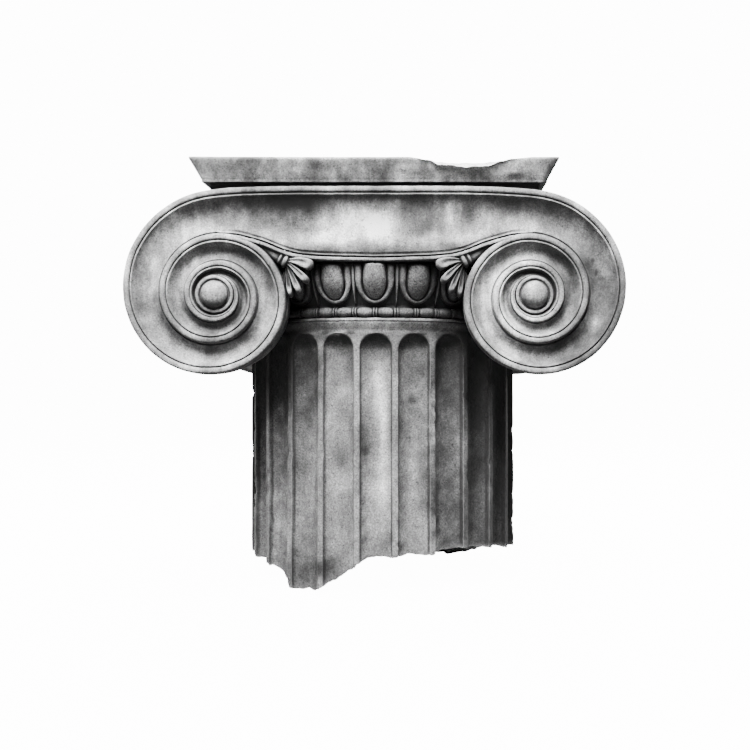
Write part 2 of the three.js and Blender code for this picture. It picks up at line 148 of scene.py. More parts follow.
def makeMesh(name, points, faces, amount=1.0, fresh=None):
    mesh = bpy.data.meshes.new(name)
    points = weathered(np.asarray(points, float), amount)
    mesh.from_pydata((points * toMetres).tolist(), [], faces)
    keepValues(mesh, "fresh", np.zeros(len(points)) if fresh is None else fresh)
    work = bmesh.new()
    work.from_mesh(mesh)
    bmesh.ops.remove_doubles(work, verts=work.verts, dist=weldGap)
    bmesh.ops.dissolve_degenerate(work, edges=work.edges, dist=leastEdge)
    bmesh.ops.holes_fill(work, edges=[edge for edge in work.edges if edge.is_boundary], sides=0)
    bmesh.ops.recalc_face_normals(work, faces=work.faces)
    work.to_mesh(mesh)
    work.free()
    mesh.shade_smooth()
    piece = bpy.data.objects.new(name, mesh)
    bpy.context.collection.objects.link(piece)
    pieces.append(piece)
    print(name, len(mesh.vertices), "points")
    return piece


# The spiral's outer radius at each quarter turn from the top, as a share of the first.
volute = {
    "x": radius + 15.5, "z": joint + 49.5, "face": radius + 50, "rise": 208, "turns": 3, "steps": 108,
    "shares": [1, 0.866, 0.755, 0.673, 0.58, 0.52, 0.465, 0.397, 0.322, 0.286, 0.261, 0.226, 0.182],
    "border": 20, "borderMost": 0.8, "narrowing": (0.01, 0.034), "drop": 12, "footDrop": 7, "hollow": 14,
    "fullWidth": 60, "fineWidth": 52, "plate": 58, "boss": 27, "bossRise": 17, "bossFoot": 0.8,
}
# How boldly a turn is carved: turns from the start, then share. The inner ones are shallower.
boldTable = np.array([(0, 1), (1, 0.97), (2, 0.82), (2.5, 0.55), (3, 0.33)])
# The ring round the boss: share of the eye's radius, then height as a share of the drop.
eyeRing = [
    (1, -1), (0.985, -0.64), (0.96, -0.36), (0.92, -0.18), (0.88, -0.17), (0.84, -0.29), (0.81, -0.55),
    (0.785, -0.8), (0.765, -0.92),
]
# The border's section: share of its width, then height. A broad roll, a groove, a fine fillet.
borderSection = [
    (0, -12), (0.008, -8), (0.025, -5.2), (0.055, -3.2), (0.1, -1.7), (0.16, -0.6), (0.24, 0.1),
    (0.34, 0.5), (0.43, 0.5), (0.51, 0.2), (0.58, -0.6), (0.63, -1.7), (0.66, -3), (0.69, -3.8),
    (0.72, -3.6), (0.745, -2.4), (0.775, -1.3), (0.82, -0.8), (0.87, -0.8), (0.91, -1.5), (0.95, -3),
    (1.0, -5.2), (1.06, -7),
]
channelPlaces = np.linspace(0, 0.74, 12)[1:]
# A fine groove runs along the foot of the next turn: distance from it, then height.
footGroove = np.array([
    (13, 0), (10.5, 0), (8.5, 0), (7, 0), (5.6, 0), (4.4, -0.3), (3.2, -2.4), (2, -3.6), (0.9, -2.6),
    (0, 0),
])


def spiralRadius(turns):
    return volute["rise"] * smoothValues(volute["shares"], np.minimum(turns, volute["turns"]) * 4)


# The border narrows from turn to turn.
def borderScale(turns):
    steady, growing = volute["narrowing"]
    return 1 - steady * turns - growing * turns ** 2


def boldness(turns):
    return np.interp(turns, boldTable[:, 0], boldTable[:, 1])


# Distance in from a turn's outer edge, and height, for many widths at once.
def ribbonSection(width, scale, bold=1.0, nextBold=1.0):
    width, scale = np.asarray(width, float)[:, None], np.asarray(scale, float)[:, None]
    bold, nextBold = np.reshape(bold, (-1, 1)), np.reshape(nextBold, (-1, 1))
    full = volute["border"] * scale
    border = np.minimum(full, volute["borderMost"] * width)
    fade = np.minimum(1, width / full)
    depth = mix(1, volute["hollow"], np.minimum(1, width / volute["fullWidth"]))
    template = np.array(borderSection)
    channel = width - border * template[-1, 0]
    fine = np.minimum(scale, channel / volute["fineWidth"])
    foot = 1 - footGroove[:, 0] * fine / np.maximum(channel, 1e-6)
    places = np.concatenate([channelPlaces + 0 * channel, foot], 1)
    across = np.concatenate([template[None, :, 0] * border, border * template[-1, 0] + places * channel], 1)
    floor = mix(volute["footDrop"] * bold, volute["drop"] * nextBold, places)
    hollow = -floor - depth * np.sin(np.pi * np.clip(places, 0, 1) ** 0.85)
    hollow[:, len(channelPlaces):] += footGroove[:, 1] * np.sqrt(fine)
    crest = template[None, :, 1] * (bold + 0 * width)
    height = np.concatenate([crest, hollow], 1)
    drop = volute["drop"] * bold
    return across, -drop + fade * (height + drop)


def placeFace(x, z, rise):
    return np.stack([x, -(volute["face"] + rise), z], -1)


# A point of a volute: distance from its eye, angle from the top, height.
def placeRound(r, angle, rise):
    return placeFace(volute["x"] + r * np.sin(angle), volute["z"] + r * np.cos(angle), rise)


def voluteGrids():
    turns = np.arange(volute["steps"] * volute["turns"] + 1) / volute["steps"]
    outer = spiralRadius(turns)
    width = np.maximum(outer - spiralRadius(turns + 1), 1e-6)
    across, rise = ribbonSection(width, borderScale(turns), boldness(turns), boldness(turns + 1))
    ribbon = placeRound(outer[:, None] - across, turns[:, None] * 2 * np.pi, rise)
    eye = spiralRadius(np.array([volute["turns"]]))[0]
    boss = volute["boss"] / eye
    drop = volute["drop"] * float(boldness(volute["turns"]))
    foot = drop * volute["bossFoot"]
    ring = [(share, drop * depth) for share, depth in [*eyeRing, (boss + 0.012, -0.95)]]
    dome = [(boss * math.cos(a), (volute["bossRise"] + foot) * math.sin(a) - foot)
            for a in np.linspace(0, math.pi / 2, 14)]
    shares, heights = np.array(ring + dome).T
    around = np.arange(volute["steps"] + 1)[:, None] / volute["steps"] * 2 * np.pi
    r = np.maximum(eye * shares, 0)[None, :]
    hub = placeRound(r, around, np.broadcast_to(heights, (len(around), len(shares))))
    return ribbon, hub


canalis = {
    "top": joint + 264.5, "droop": 7, "sag": 56, "ridge": 8.5, "ridgeEnd": 0.16, "linesFrom": 30, "steps": 60,
}
sagCurve = np.array([[0, 1.01], [0.361, 0.945], [0.536, 0.81], [0.72, 0.42], [1, 0]])
# The lower ridge's section: share of its width, then height.
ridgeSection = np.array([
    (1.0, -18), (0.98, -12), (0.94, -5), (0.86, -1.7), (0.74, -0.5), (0.55, 0), (0.36, 0), (0.2, -0.6),
    (0.1, -2.4), (0.03, -6.5), (0, -12),
])
# Fine lines above the ridge: depth, distance from it, half width.
ridgeLines = [(3.5, 1.6, 1.8), (5, 8, 2.4)]


def canalisLower(share):
    at = np.linspace(0, len(sagCurve) - 1, 400)
    places = smoothValues(sagCurve[:, 0], at)
    sags = smoothValues(sagCurve[:, 1], at)
    top = volute["z"] + spiralRadius(np.array([1.0]))[0]
    return top - canalis["sag"] * np.interp(share, places, sags)


def canalisGrid():
    share = np.linspace(0, 1, canalis["steps"] + 1)
    upper = canalis["top"] - canalis["droop"] * share ** 5
    lower = canalisLower(share)
    grow = np.where(share < 1, ease((1 - share) / canalis["ridgeEnd"]), 0)
    ridge = canalis["ridge"] * grow
    width = upper - lower
    across, rise = ribbonSection(width - ridge, np.ones_like(share))
    gap = (width - ridge)[:, None] - across
    lines = sum(deep * np.exp(-((gap - away) / half) ** 2) for deep, away, half in ridgeLines)
    rise = rise - grow[:, None] * lines * (across > canalis["linesFrom"])
    raised = -volute["drop"] + grow[:, None] * (ridgeSection[:, 1] + volute["drop"])
    across = np.concatenate([across, width[:, None] - ridge[:, None] * ridgeSection[:, 0]], 1)
    rise = np.concatenate([rise, raised], 1)
    x = np.broadcast_to((volute["x"] * share)[:, None], across.shape)
    return placeFace(x, upper[:, None] - across, rise)


# Both volutes and the canalis between them, as one relief with walls behind it.
def buildFace(name, side):
    ribbon, hub = voluteGrids()
    middle = canalisGrid()
    outline = np.concatenate([middle[:-1, 0], ribbon[: volute["steps"] + 1, 0], middle[::-1, -1][1:]])
    back = outline * [1, 0, 1] - [0, volute["face"] - volute["plate"], 0]
    wall = np.stack([mix(outline, back, share) for share in (0, 0.06, 0.15, 0.35, 0.65, 1)])
    points, faces = joinParts([(grid.reshape(-1, 3) * [mirror, 1, 1], gridFaces(*grid.shape[:2]))
                               for mirror in (1, -1) for grid in (ribbon, hub, middle, wall)])
    return makeMesh(name, points * [1, side, 1], faces)


# A bolster: the volute's outline drawn in towards a belt at the middle.
bolster = {
    "reach": 320, "plate": 298, "pinch": 0.78, "curve": 2.2, "lip": 0.6, "tuck": 2, "edge": 5, "groove": 6,
    "belt": 58, "beltRise": 5.5, "clear": 7.5, "around": 120,
}
# Its rolls: distance from the middle, half width, height.
endRolls = [(276, 7, 4), (258, 4, 2)]
beltRolls = [(48, 9, 6.5), (30, 7, 4), (10, 12, 5)]
# Where its sections stand, closer together on the rolls, beside the belt and at the ends.
rollShares = (-1.02, -0.99, -0.85, -0.6, -0.3, 0, 0.3, 0.6, 0.85, 0.99, 1.02)
beltStations = (0, 3, 6, 58.2, 60)
plainStations = np.arange(62, 250, 11.0)
endStations = (287, 290, 293, 295, 296.5, 298, 299, 300, 302, 304, 308, 312, 316, 320)


def withRolls(offset, a, rolls):
    for middle, half, height in rolls:
        offset += height * math.sqrt(max(0, 1 - ((a - middle) / half) ** 2))
    return offset


def bolsterSection(y):
    a, plate, edge = abs(y), bolster["plate"], bolster["edge"]
    if a > plate:
        return 1, bolster["lip"] - bolster["tuck"] * ease((plate + edge - a) / edge)
    waist = mix(bolster["pinch"], 1, (a / plate) ** bolster["curve"])
    offset = withRolls(-bolster["groove"] * math.exp(-(((a - plate) / edge) ** 2)), a, endRolls)
    if a < bolster["belt"]:
        offset = withRolls(offset + bolster["beltRise"], a, beltRolls)
    return waist, offset


def buildBolster(name, side):
    spots = {*beltStations, *plainStations, *endStations}
    for middle, half, _ in endRolls + beltRolls:
        spots.update(middle + half * share for share in rollShares)
    stations = sorted({round(s, 2) for y in spots for s in (y, -y) if abs(y) <= bolster["reach"]})
    turns = np.arange(bolster["around"] + 1) / bolster["around"]
    angle = turns * 2 * np.pi
    outline = spiralRadius(turns)
    rows = []
    for y in stations:
        scale, offset = bolsterSection(y)
        r = outline * scale + offset
        x, z = volute["x"] + r * np.sin(angle), volute["z"] + r * np.cos(angle)
        rows.append(np.stack([x, np.full_like(r, y), z], -1))
    grid = np.stack(rows)
    points = grid.reshape(-1, 3)
    # Below the joint the bolster is undercut to clear the shaft.
    clear = radius + bolster["clear"]
    reach = np.hypot(points[:, 0], points[:, 1])
    near = (points[:, 2] < joint + 2) & (reach < clear)
    push = np.where(near, clear / np.maximum(reach, 1), 1)
    points = points * np.stack([push, push, np.ones_like(push)], -1)
    faces = gridFaces(grid.shape[0], grid.shape[1], closeCols=True)
    return makeMesh(name, points * [side, 1, 1], faces)


abacus = {
    "half": radius + 62, "top": capitalHigh[2], "bottom": capitalHigh[2] - 46, "slope": 21, "recess": 14,
    "fillet": 5.5, "side": 180,
}
# The chip in its front edge: x, how deep, and how far back.
chipProfile = np.array([
    [72, 0.5, 4], [112, 9, 34], [124, 17, 52], [168, 19, 64],
    [222, 18.5, 58], [246, 9, 40], [282, 3, 20], [306, 0.5, 4],
])
# Its worn top edge: how far in, and how far down.
topEdge = [(0.3, 3.4), (0, 2.4), (0.2, 1.2), (0.9, 0.4), (2, 0)]
block = {"wider": 1.5, "deeper": 4, "low": joint + 130, "sunk": 8, "side": 40}


# A square path from -1 to 1 with the given steps a side.
def squarePath(steps):
    edge, one = np.linspace(-1, 1, steps + 1)[:-1], np.ones(steps)
    sides = [(edge, -one), (one, edge), (-edge, one), (-one, -edge)]
    return np.concatenate([np.stack(side, -1) for side in sides])


# The path once for each size and height of a profile.
def pathRows(path, profile):
    return np.stack([np.concatenate([path * size, np.full((len(path), 1), z)], 1) for size, z in profile])


def buildAbacus(name):
    top, bottom, half = abacus["top"], abacus["bottom"], abacus["half"]
    low = half - abacus["slope"]
    neck = low - abacus["recess"]
    f = abacus["fillet"]
    profile = [(neck - 30, bottom - 28), (neck, bottom - 28), (neck, bottom - 14), (neck, bottom - 1.2),
               (neck + 1.2, bottom), (low - 1, bottom), (low, bottom + 0.9), (low, bottom + f - 0.8),
               (low + 0.6, bottom + f)]
    for t in np.linspace(0, 1, 12):
        profile.append((mix(low + 1, half - 0.6, t), mix(bottom + f + 0.6, top - 4.5, t)))
    profile += [(half - back, top - down) for back, down in topEdge]
    profile += [(half - 2 - run, top) for run in np.linspace(3.5, 90, 26)]
    profile += [(half * s, top) for s in (0.7, 0.55, 0.4, 0.25, 0.1, 0.0)]
    path = squarePath(abacus["side"])
    points = pathRows(path, profile).reshape(-1, 3)
    faces = gridFaces(len(profile), len(path), closeCols=True)
    # The chip: whatever stands above its broken surface is taken down to it.
    ragged = roughNoise(points, 17, 11) * 2.6
    deep = np.interp(points[:, 0], chipProfile[:, 0], chipProfile[:, 1], left=0, right=0)
    run = np.interp(points[:, 0], chipProfile[:, 0], chipProfile[:, 2], left=1, right=1)
    inward = points[:, 1] + half
    broken = top - deep * (1 - np.clip(inward / run, -0.3, 1)) + ragged * np.clip(deep / 8, 0, 1)
    bitten = (deep > 0.2) & (inward < run) & (points[:, 2] > broken)
    # Small nicks along the other top edges.
    nick = np.maximum(0, roughNoise(points, 30, 33) - 0.7) * 12
    edgeNear = np.clip(1 - np.abs(np.abs(points[:, :2]).max(1) - half) / 12, 0, 1) * (points[:, 2] > top - 8)
    points[:, 2] -= nick * edgeNear
    points[:, 2] = np.where(bitten, broken, points[:, 2])
    fresh = np.where(bitten, 1.0, np.clip(nick * edgeNear * 0.4, 0, 1))
    return makeMesh(name, points, faces, fresh=fresh)


def buildBlock(name):
    half = abacus["half"] - abacus["slope"] - abacus["recess"] + block["wider"]
    size = np.array([half, volute["face"] - volute["plate"] + block["deeper"]])
    heights = np.linspace(block["low"], abacus["bottom"] - block["sunk"], 12)
    path = squarePath(block["side"])
    rows = pathRows(path, [(size, z) for z in heights])
    return makeMesh(name, rows.reshape(-1, 3), gridFaces(len(rows), len(path), closeCols=True))


echinus = {
    "bottom": joint + 29, "top": joint + 134, "ground": radius + 2, "swell": 27, "bead": 9.8,
    "astragal": radius + 11, "beadHeight": joint + 17.5, "fillet": 6, "roll": 6.5, "core": 200,
    "around": 288, "count": 24, "beadsPerEgg": 2,
}


def groundAt(z):
    share = np.clip((z - echinus["bottom"]) / (echinus["top"] - echinus["bottom"]), 0, 1)
    return echinus["ground"] + echinus["swell"] * np.sin(share * np.pi / 2)


def buildGround(name):
    low = joint + 0.3
    f = echinus["fillet"]
    seat = echinus["astragal"] - 5
    outer = echinus["astragal"] + 3
    middle, roll, core = echinus["beadHeight"], echinus["roll"], echinus["core"]
    profile = [(0, low), (core, low), (outer - 1, low), (outer, low + 1), (outer, low + f - 1),
               (outer - 0.8, low + f), (seat, low + f + 0.8)]
    profile += [(seat + roll * math.cos(a), middle + roll * math.sin(a)) for a in np.linspace(-1.4, 1.4, 9)]
    profile += [(seat, echinus["bottom"] - 3), (groundAt(echinus["bottom"]), echinus["bottom"])]
    profile += [(groundAt(z), z) for z in np.linspace(echinus["bottom"] + 4, echinus["top"], 16)]
    profile += [(core, echinus["top"]), (0, echinus["top"])]
    around = echinus["around"]
    angle = np.arange(around) / around * 2 * np.pi
    rows = np.stack([aroundAxis(r, angle, np.full(around, z)) for r, z in profile])
    return makeMesh(name, rows.reshape(-1, 3), gridFaces(len(rows), around, closeCols=True))


# A point of the echinus: how far across from the middle, height, and how far out from its ground.
def aroundPoint(across, z, out):
    return aroundAxis(groundAt(z) + out, across / echinus["astragal"], z)


# A closed tube through rows of points, with its ends drawn together.
def tubeParts(rows, start=0):
    grid = np.stack(rows)
    ends = np.stack([grid[0].mean(0), grid[-1].mean(0)])
    n, m = grid.shape[:2]
    faces = gridFaces(n, m, closeCols=True, start=start)
    first, last = start + n * m, start + n * m + 1
    faces += [[first, start + (k + 1) % m, start + k] for k in range(m)]
    faces += [[last, start + (n - 1) * m + k, start + (n - 1) * m + (k + 1) % m] for k in range(m)]
    return np.concatenate([grid.reshape(-1, 3), ends]), faces


egg = {
    "half": 24, "belly": 26, "low": joint + 39, "top": joint + 111.5, "widest": 0.6, "point": 2.15,
    "crown": 0.8, "sunk": 2, "root": -14, "shell": 37.4, "band": 15.6, "bandLow": 8, "rise": 15,
}


def eggParts():
    rows = []
    high = egg["top"] - 1.5
    a = np.linspace(-math.pi / 2, math.pi / 2, 23)
    for t in np.concatenate([[0.0], np.linspace(0.12, 1, 21)]):
        share = 1 - math.cos(t * math.pi / 2)
        z = mix(egg["low"], high, share)
        u = min(1.0, share / egg["widest"])
        fat = math.sqrt(max(0.0006, 1 - (1 - u) ** egg["point"]))
        fat = fat * (1 - 0.06 * ease((share - egg["widest"]) / 0.3))
        out = egg["belly"] * fat * np.cos(a) ** egg["crown"] - egg["sunk"]
        front = aroundPoint(egg["half"] * fat * np.sin(a), np.full(len(a), z), out)
        behind = aroundPoint(np.zeros(1), np.full(1, z), egg["root"])
        rows.append(np.concatenate([front, behind]))
    return tubeParts(rows)


# The shell: a band that runs down one side of the egg, round below it and up the other.
shellSection = [(0, -8), (0, 0.5), (0.05, 0.76), (0.12, 0.89), (0.26, 0.97), (0.42, 1), (0.58, 1),
                (0.72, 0.96), (0.83, 0.88), (0.91, 0.74), (0.97, 0.5), (1, 0.1), (1, -8)]


def shellParts():
    spring = mix(echinus["bottom"], echinus["top"], 0.52)
    drop = spring - echinus["bottom"] - 5
    high = egg["top"]
    path = [(-1, high), (-1, mix(spring, high, 0.5))]
    path += [(s, None) for s in np.linspace(-1, 1, 33)]
    path += [(1, mix(spring, high, 0.5)), (1, high)]
    rows = []
    for s, z in path:
        turn = s * math.pi / 2
        down = max(0.0, math.cos(turn)) if z is None else 0.0
        across = egg["shell"] * math.sin(turn)
        height = spring - drop * down if z is None else z
        inward = np.array([-across / egg["shell"], down])
        inward = inward / np.linalg.norm(inward)
        band = mix(egg["band"], egg["bandLow"], down)
        row = []
        for share, rise in shellSection:
            out = rise if rise < 0 else rise * egg["rise"] * mix(1, 0.8, down) - 1
            row.append(aroundPoint(across + inward[0] * band * share, height + inward[1] * band * share, out))
        rows.append(np.stack(row))
    return tubeParts(rows)


# Half width and height of a dart at its foot and top, and its section as shares of them.
dart = {"half": (1.3, 4.6), "rise": (7, 13)}
dartSection = [
    (-1, -8), (-1, 0.35), (-0.8, 0.7), (-0.45, 0.92), (0, 1), (0.45, 0.92), (0.8, 0.7), (1, 0.35), (1, -8),
]


def dartParts():
    rows = []
    for t in np.linspace(0, 1, 14):
        z = mix(echinus["bottom"] + 1, egg["top"], t)
        half = mix(*dart["half"], ease(t / 0.75))
        rise = mix(*dart["rise"], ease(t / 0.5))
        rows.append(np.stack([aroundPoint(s * half, z, h if h < 0 else h * rise) for s, h in dartSection]))
    return tubeParts(rows)


def turnedParts(profile, sides=20):
    angle = np.arange(sides) / sides * 2 * np.pi
    rows = []
    for along, r in profile:
        reach = echinus["astragal"] + r * np.cos(angle)
        z = echinus["beadHeight"] + r * np.sin(angle)
        rows.append(aroundAxis(reach, along / echinus["astragal"], z))
    return tubeParts(rows)


def beadParts():
    pitch = 2 * math.pi * echinus["astragal"] / (echinus["count"] * echinus["beadsPerEgg"])
    half = pitch * 0.385
    profile = []
    for s in np.linspace(-1, 1, 15):
        a = s * math.pi / 2
        fat = (0.42 + 0.58 * math.cos(a) ** 0.65) * (0.35 if abs(s) == 1 else 1)
        profile.append((half * math.sin(a), echinus["bead"] * fat))
    return turnedParts(profile)


# Two discs make a reel: where they stand, their half width, and their section as shares.
reel = {"places": (-2.5, 2.5), "half": 1.9}
reelSection = [(-1, 0.5), (-0.95, 0.78), (-0.6, 0.93), (0, 0.99), (0.6, 0.93), (0.95, 0.78), (1, 0.5)]


def reelParts():
    discs = [[(middle + reel["half"] * s, echinus["bead"] * r) for s, r in reelSection]
             for middle in reel["places"]]
    return joinParts([turnedParts(disc) for disc in discs])


# Copies of a piece turned round the column's axis, each a little out of true.
def ringOfCopies():
    tree = bpy.data.node_groups.new("ringOfCopies", "GeometryNodeTree")
    face = tree.interface
    sockets = {}
    for label, kind, value in (("Geometry", "NodeSocketGeometry", None), ("Count", "NodeSocketInt", 9),
                               ("First", "NodeSocketFloat", 0.0), ("Step", "NodeSocketFloat", 0.26),
                               ("Jitter", "NodeSocketFloat", 0.0), ("Seed", "NodeSocketInt", 3),
                               ("Material", "NodeSocketMaterial", None)):
        socket = face.new_socket(label, in_out="INPUT", socket_type=kind)
        if value is not None:
            socket.default_value = value
        sockets[label] = socket.identifier
    face.new_socket("Geometry", in_out="OUTPUT", socket_type="NodeSocketGeometry")
    add, link = tree.nodes.new, tree.links.new
    given, out = add("NodeGroupInput"), add("NodeGroupOutput")
    points, index = add("GeometryNodePoints"), add("GeometryNodeInputIndex")
    link(given.outputs["Count"], points.inputs["Count"])
    steps, first = add("ShaderNodeMath"), add("ShaderNodeMath")
    steps.operation, first.operation = "MULTIPLY", "ADD"
    link(index.outputs[0], steps.inputs[0])
    link(given.outputs["Step"], steps.inputs[1])
    link(steps.outputs[0], first.inputs[0])
    link(given.outputs["First"], first.inputs[1])
    chance, shake, whole = add("FunctionNodeRandomValue"), add("ShaderNodeMath"), add("ShaderNodeMath")
    chance.data_type = "FLOAT"
    chance.inputs[2].default_value = -1.0
    chance.inputs[3].default_value = 1.0
    link(given.outputs["Seed"], chance.inputs["Seed"])
    shake.operation, whole.operation = "MULTIPLY", "ADD"
    link(chance.outputs[1], shake.inputs[0])
    link(given.outputs["Jitter"], shake.inputs[1])
    link(first.outputs[0], whole.inputs[0])
    link(shake.outputs[0], whole.inputs[1])
    turn = add("FunctionNodeAxisAngleToRotation")
    turn.inputs["Axis"].default_value = (0, 0, 1)
    link(whole.outputs[0], turn.inputs["Angle"])
    copies, real = add("GeometryNodeInstanceOnPoints"), add("GeometryNodeRealizeInstances")
    dress = add("GeometryNodeSetMaterial")
    link(points.outputs[0], copies.inputs["Points"])
    link(given.outputs["Geometry"], copies.inputs["Instance"])
    link(turn.outputs["Rotation"], copies.inputs["Rotation"])
    link(copies.outputs[0], real.inputs[0])
    link(real.outputs[0], dress.inputs["Geometry"])
    link(given.outputs["Material"], dress.inputs["Material"])
    link(dress.outputs[0], out.inputs[0])
    return tree, sockets


ringTree, ringSockets = ringOfCopies()


# The copies stand evenly about the middle given, an angle from the front.
def ringPiece(name, parts, count, middle, step, material, jitter, seed):
    points, faces = parts
    piece = makeMesh(name, points, faces, amount=0)
    ring = piece.modifiers.new("ring", "NODES")
    ring.node_group = ringTree
    first = middle - (count - 1) / 2 * step
    for label, value in (("Count", count), ("First", first), ("Step", step), ("Jitter", jitter),
                         ("Seed", seed), ("Material", material)):
        ring[ringSockets[label]] = value
    bpy.context.view_layer.update()
    made = bpy.data.meshes.new_from_object(piece.evaluated_get(bpy.context.evaluated_depsgraph_get()))
    piece.modifiers.clear()
    piece.data = made
    moved = weathered(meshRows(made.vertices, "co", 3) / toMetres, 1.3) * toMetres
    made.vertices.foreach_set("co", moved.ravel())
    made.shade_smooth()


# Palmettes in the corners between the volutes and the canalis. The right one is worked out.
palmette = {
    "x": volute["x"] - 138, "z": volute["z"] + 71, "out": volute["face"] - 16, "length": 56, "width": 20,
    "lean": 28, "spread": 7, "leafIn": 3, "leafDrop": 10,
}
# Each leaf: degrees from +X, how far it curls, length share, width share, how far it stands out.
leaves = [
    (188, 16, 0.94, 1.12, 8), (222, 6, 1.05, 0.74, 6), (244, 5, 1.17, 0.66, 1),
    (261, 3, 1.14, 0.58, -4), (278, 0, 0.94, 0.5, -9),
]
leafSection = [
    (-1, -0.9, 0), (-1, 0.1, 0), (-0.9, 0.52, 0), (-0.7, 0.76, 0.05), (-0.5, 0.86, 0.3), (-0.28, 0.92, 0.7),
    (-0.1, 0.96, 1), (0.1, 0.96, 1), (0.28, 0.92, 0.7), (0.5, 0.86, 0.3), (0.7, 0.76, 0.05), (0.9, 0.52, 0),
    (1, 0.1, 0), (1, -0.9, 0),
]


outward = np.array([0.0, -1.0, 0.0])


# The way along an angle in the plane of the face, and the way across it.
def waysAt(degrees):
    angle = math.radians(degrees)
    return np.array([math.cos(angle), 0, math.sin(angle)]), np.array([-math.sin(angle), 0, math.cos(angle)])


# An oval of points about a centre.
def ovalRow(centre, across, half, share, turn):
    return centre + np.outer(np.cos(turn) * half, across) + np.outer(np.sin(turn) * half * share, outward)


def leafParts(root, degrees, curl, length, width, lift):
    centre = np.array(root, float)
    rows, steps = [], 22
    for t in np.linspace(0, 1, steps):
        along, across = waysAt(degrees + curl * (2 * t - 0.6))
        swell = 0.3 + 0.7 * math.sin(math.pi / 2 * min(1, t / 0.78)) ** 1.5
        tip = math.sqrt(max(0.004, 1 - max(0, (t - 0.84) / 0.16) ** 2))
        half = width / 2 * swell * tip
        thick = 10 * (0.45 + 0.55 * t) * mix(0.45, 1, tip)
        groove = 0.8 * (1 - ease((t - 0.62) / 0.24))
        rise = lift + 6 * math.sin(math.pi * t * 0.85) - 4 * ease((t - 0.8) / 0.2)
        heights = [(h - groove * cut) * thick if h > 0 else h * 9 for _, h, cut in leafSection]
        rows.append(np.stack([centre + across * place[0] * half + outward * (rise + h)
                              for place, h in zip(leafSection, heights)]))
        centre = centre + along * length / (steps - 1)
    return tubeParts(rows)


# The ribbed stem, which sags a little and comes forward towards its end.
stem = {"length": 78, "start": 14.5, "end": 5, "flat": 0.75, "forward": 3}
# Its two collars: place along it, half width, half length.
collars = [(-3, 18, 5), (8, 16, 3.4)]


def stemParts(root, degrees):
    along, across = waysAt(degrees)
    turn = np.linspace(0, 2 * math.pi, 17)[:-1]
    ribs = 1 + 0.1 * np.cos(turn * 5)
    rows = []
    for t in np.linspace(0, 1, 14):
        sag = np.array([0, 0, -math.sin(math.pi * t)])
        centre = root + along * stem["length"] * t + sag + outward * stem["forward"] * t
        rows.append(ovalRow(centre, across, mix(stem["start"], stem["end"], t) * ribs, stem["flat"], turn))
    return tubeParts(rows)


def collarParts(root, degrees, shift, half, thick):
    along, across = waysAt(degrees)
    turn = np.linspace(0, 2 * math.pi, 21)[:-1]
    rows = []
    for t in np.linspace(-1, 1, 9):
        size = half * (0.72 + 0.28 * math.sqrt(max(0, 1 - t * t)))
        rows.append(ovalRow(root + along * (shift + thick * t), across, size, 0.8, turn))
    return tubeParts(rows)


def buildPalmette(name, side):
    root = np.array([palmette["x"], -palmette["out"], palmette["z"]])
    _, across = waysAt(palmette["lean"])
    parts = []
    for k, (turn, curl, long, wide, lift) in enumerate(leaves):
        start = root + across * mix(palmette["spread"], -palmette["spread"], k / (len(leaves) - 1))
        start = start - [palmette["leafIn"], 0, palmette["leafDrop"]]
        parts.append(leafParts(start, turn, curl, palmette["length"] * long, palmette["width"] * wide, lift))
    parts.append(stemParts(root, palmette["lean"]))
    parts += [collarParts(root, palmette["lean"], *collar) for collar in collars]
    points, faces = joinParts(parts)
    return makeMesh(name, points * [side, 1, 1], faces)


shaft = {
    "count": 24, "fillet": 11.5, "flute": 24, "crown": joint - 24,
    "taper": 2, "flare": neckFlare, "flareHeight": 20, "vault": 110,
}
# The broken rim: degrees round from the front, then height.
breakRim = np.array([
    [-115, 14], [-100, 36], [-88, 42], [-70, 45], [-53, 46], [-50, 38], [-47, 29], [-45.5, 14], [-43, 8],
    [-40.5, 5], [-37, 3], [-34, 0], [-31.5, 3], [-29, 1.5], [-26.5, 4], [-23, 11], [-20.5, 20],
    [-16, 31], [-12.5, 44], [-10, 49], [-7, 66], [-3, 73], [6, 76], [13, 78], [18, 77], [22.5, 78],
    [25.5, 81], [28, 86], [34, 87], [42, 83], [56, 77], [78, 61], [94, 55], [108, 59], [120, 32],
    [131, 6], [136, 0], [234, 0], [240, 5],
])
# Where the broken underside bears on the ground: degrees round, then how fully.
bearings = np.array([
    [-115, 0.4], [-108, 0], [-52, 0], [-42, 1], [-31, 1], [-25, 0], [122, 0], [136, 1], [234, 1],
])
vaultPlaces = [0, 0.5, 0.78, 0.88, 1]
vaultRise = [1, 0.95, 0.8, 0.3, 0]


def roundValues(table, angle):
    degrees = (np.degrees(angle) - table[0, 0]) % 360 + table[0, 0]
    closed = np.vstack([table, [table[0, 0] + 360, table[0, 1]]])
    return np.interp(degrees, closed[:, 0], closed[:, 1])


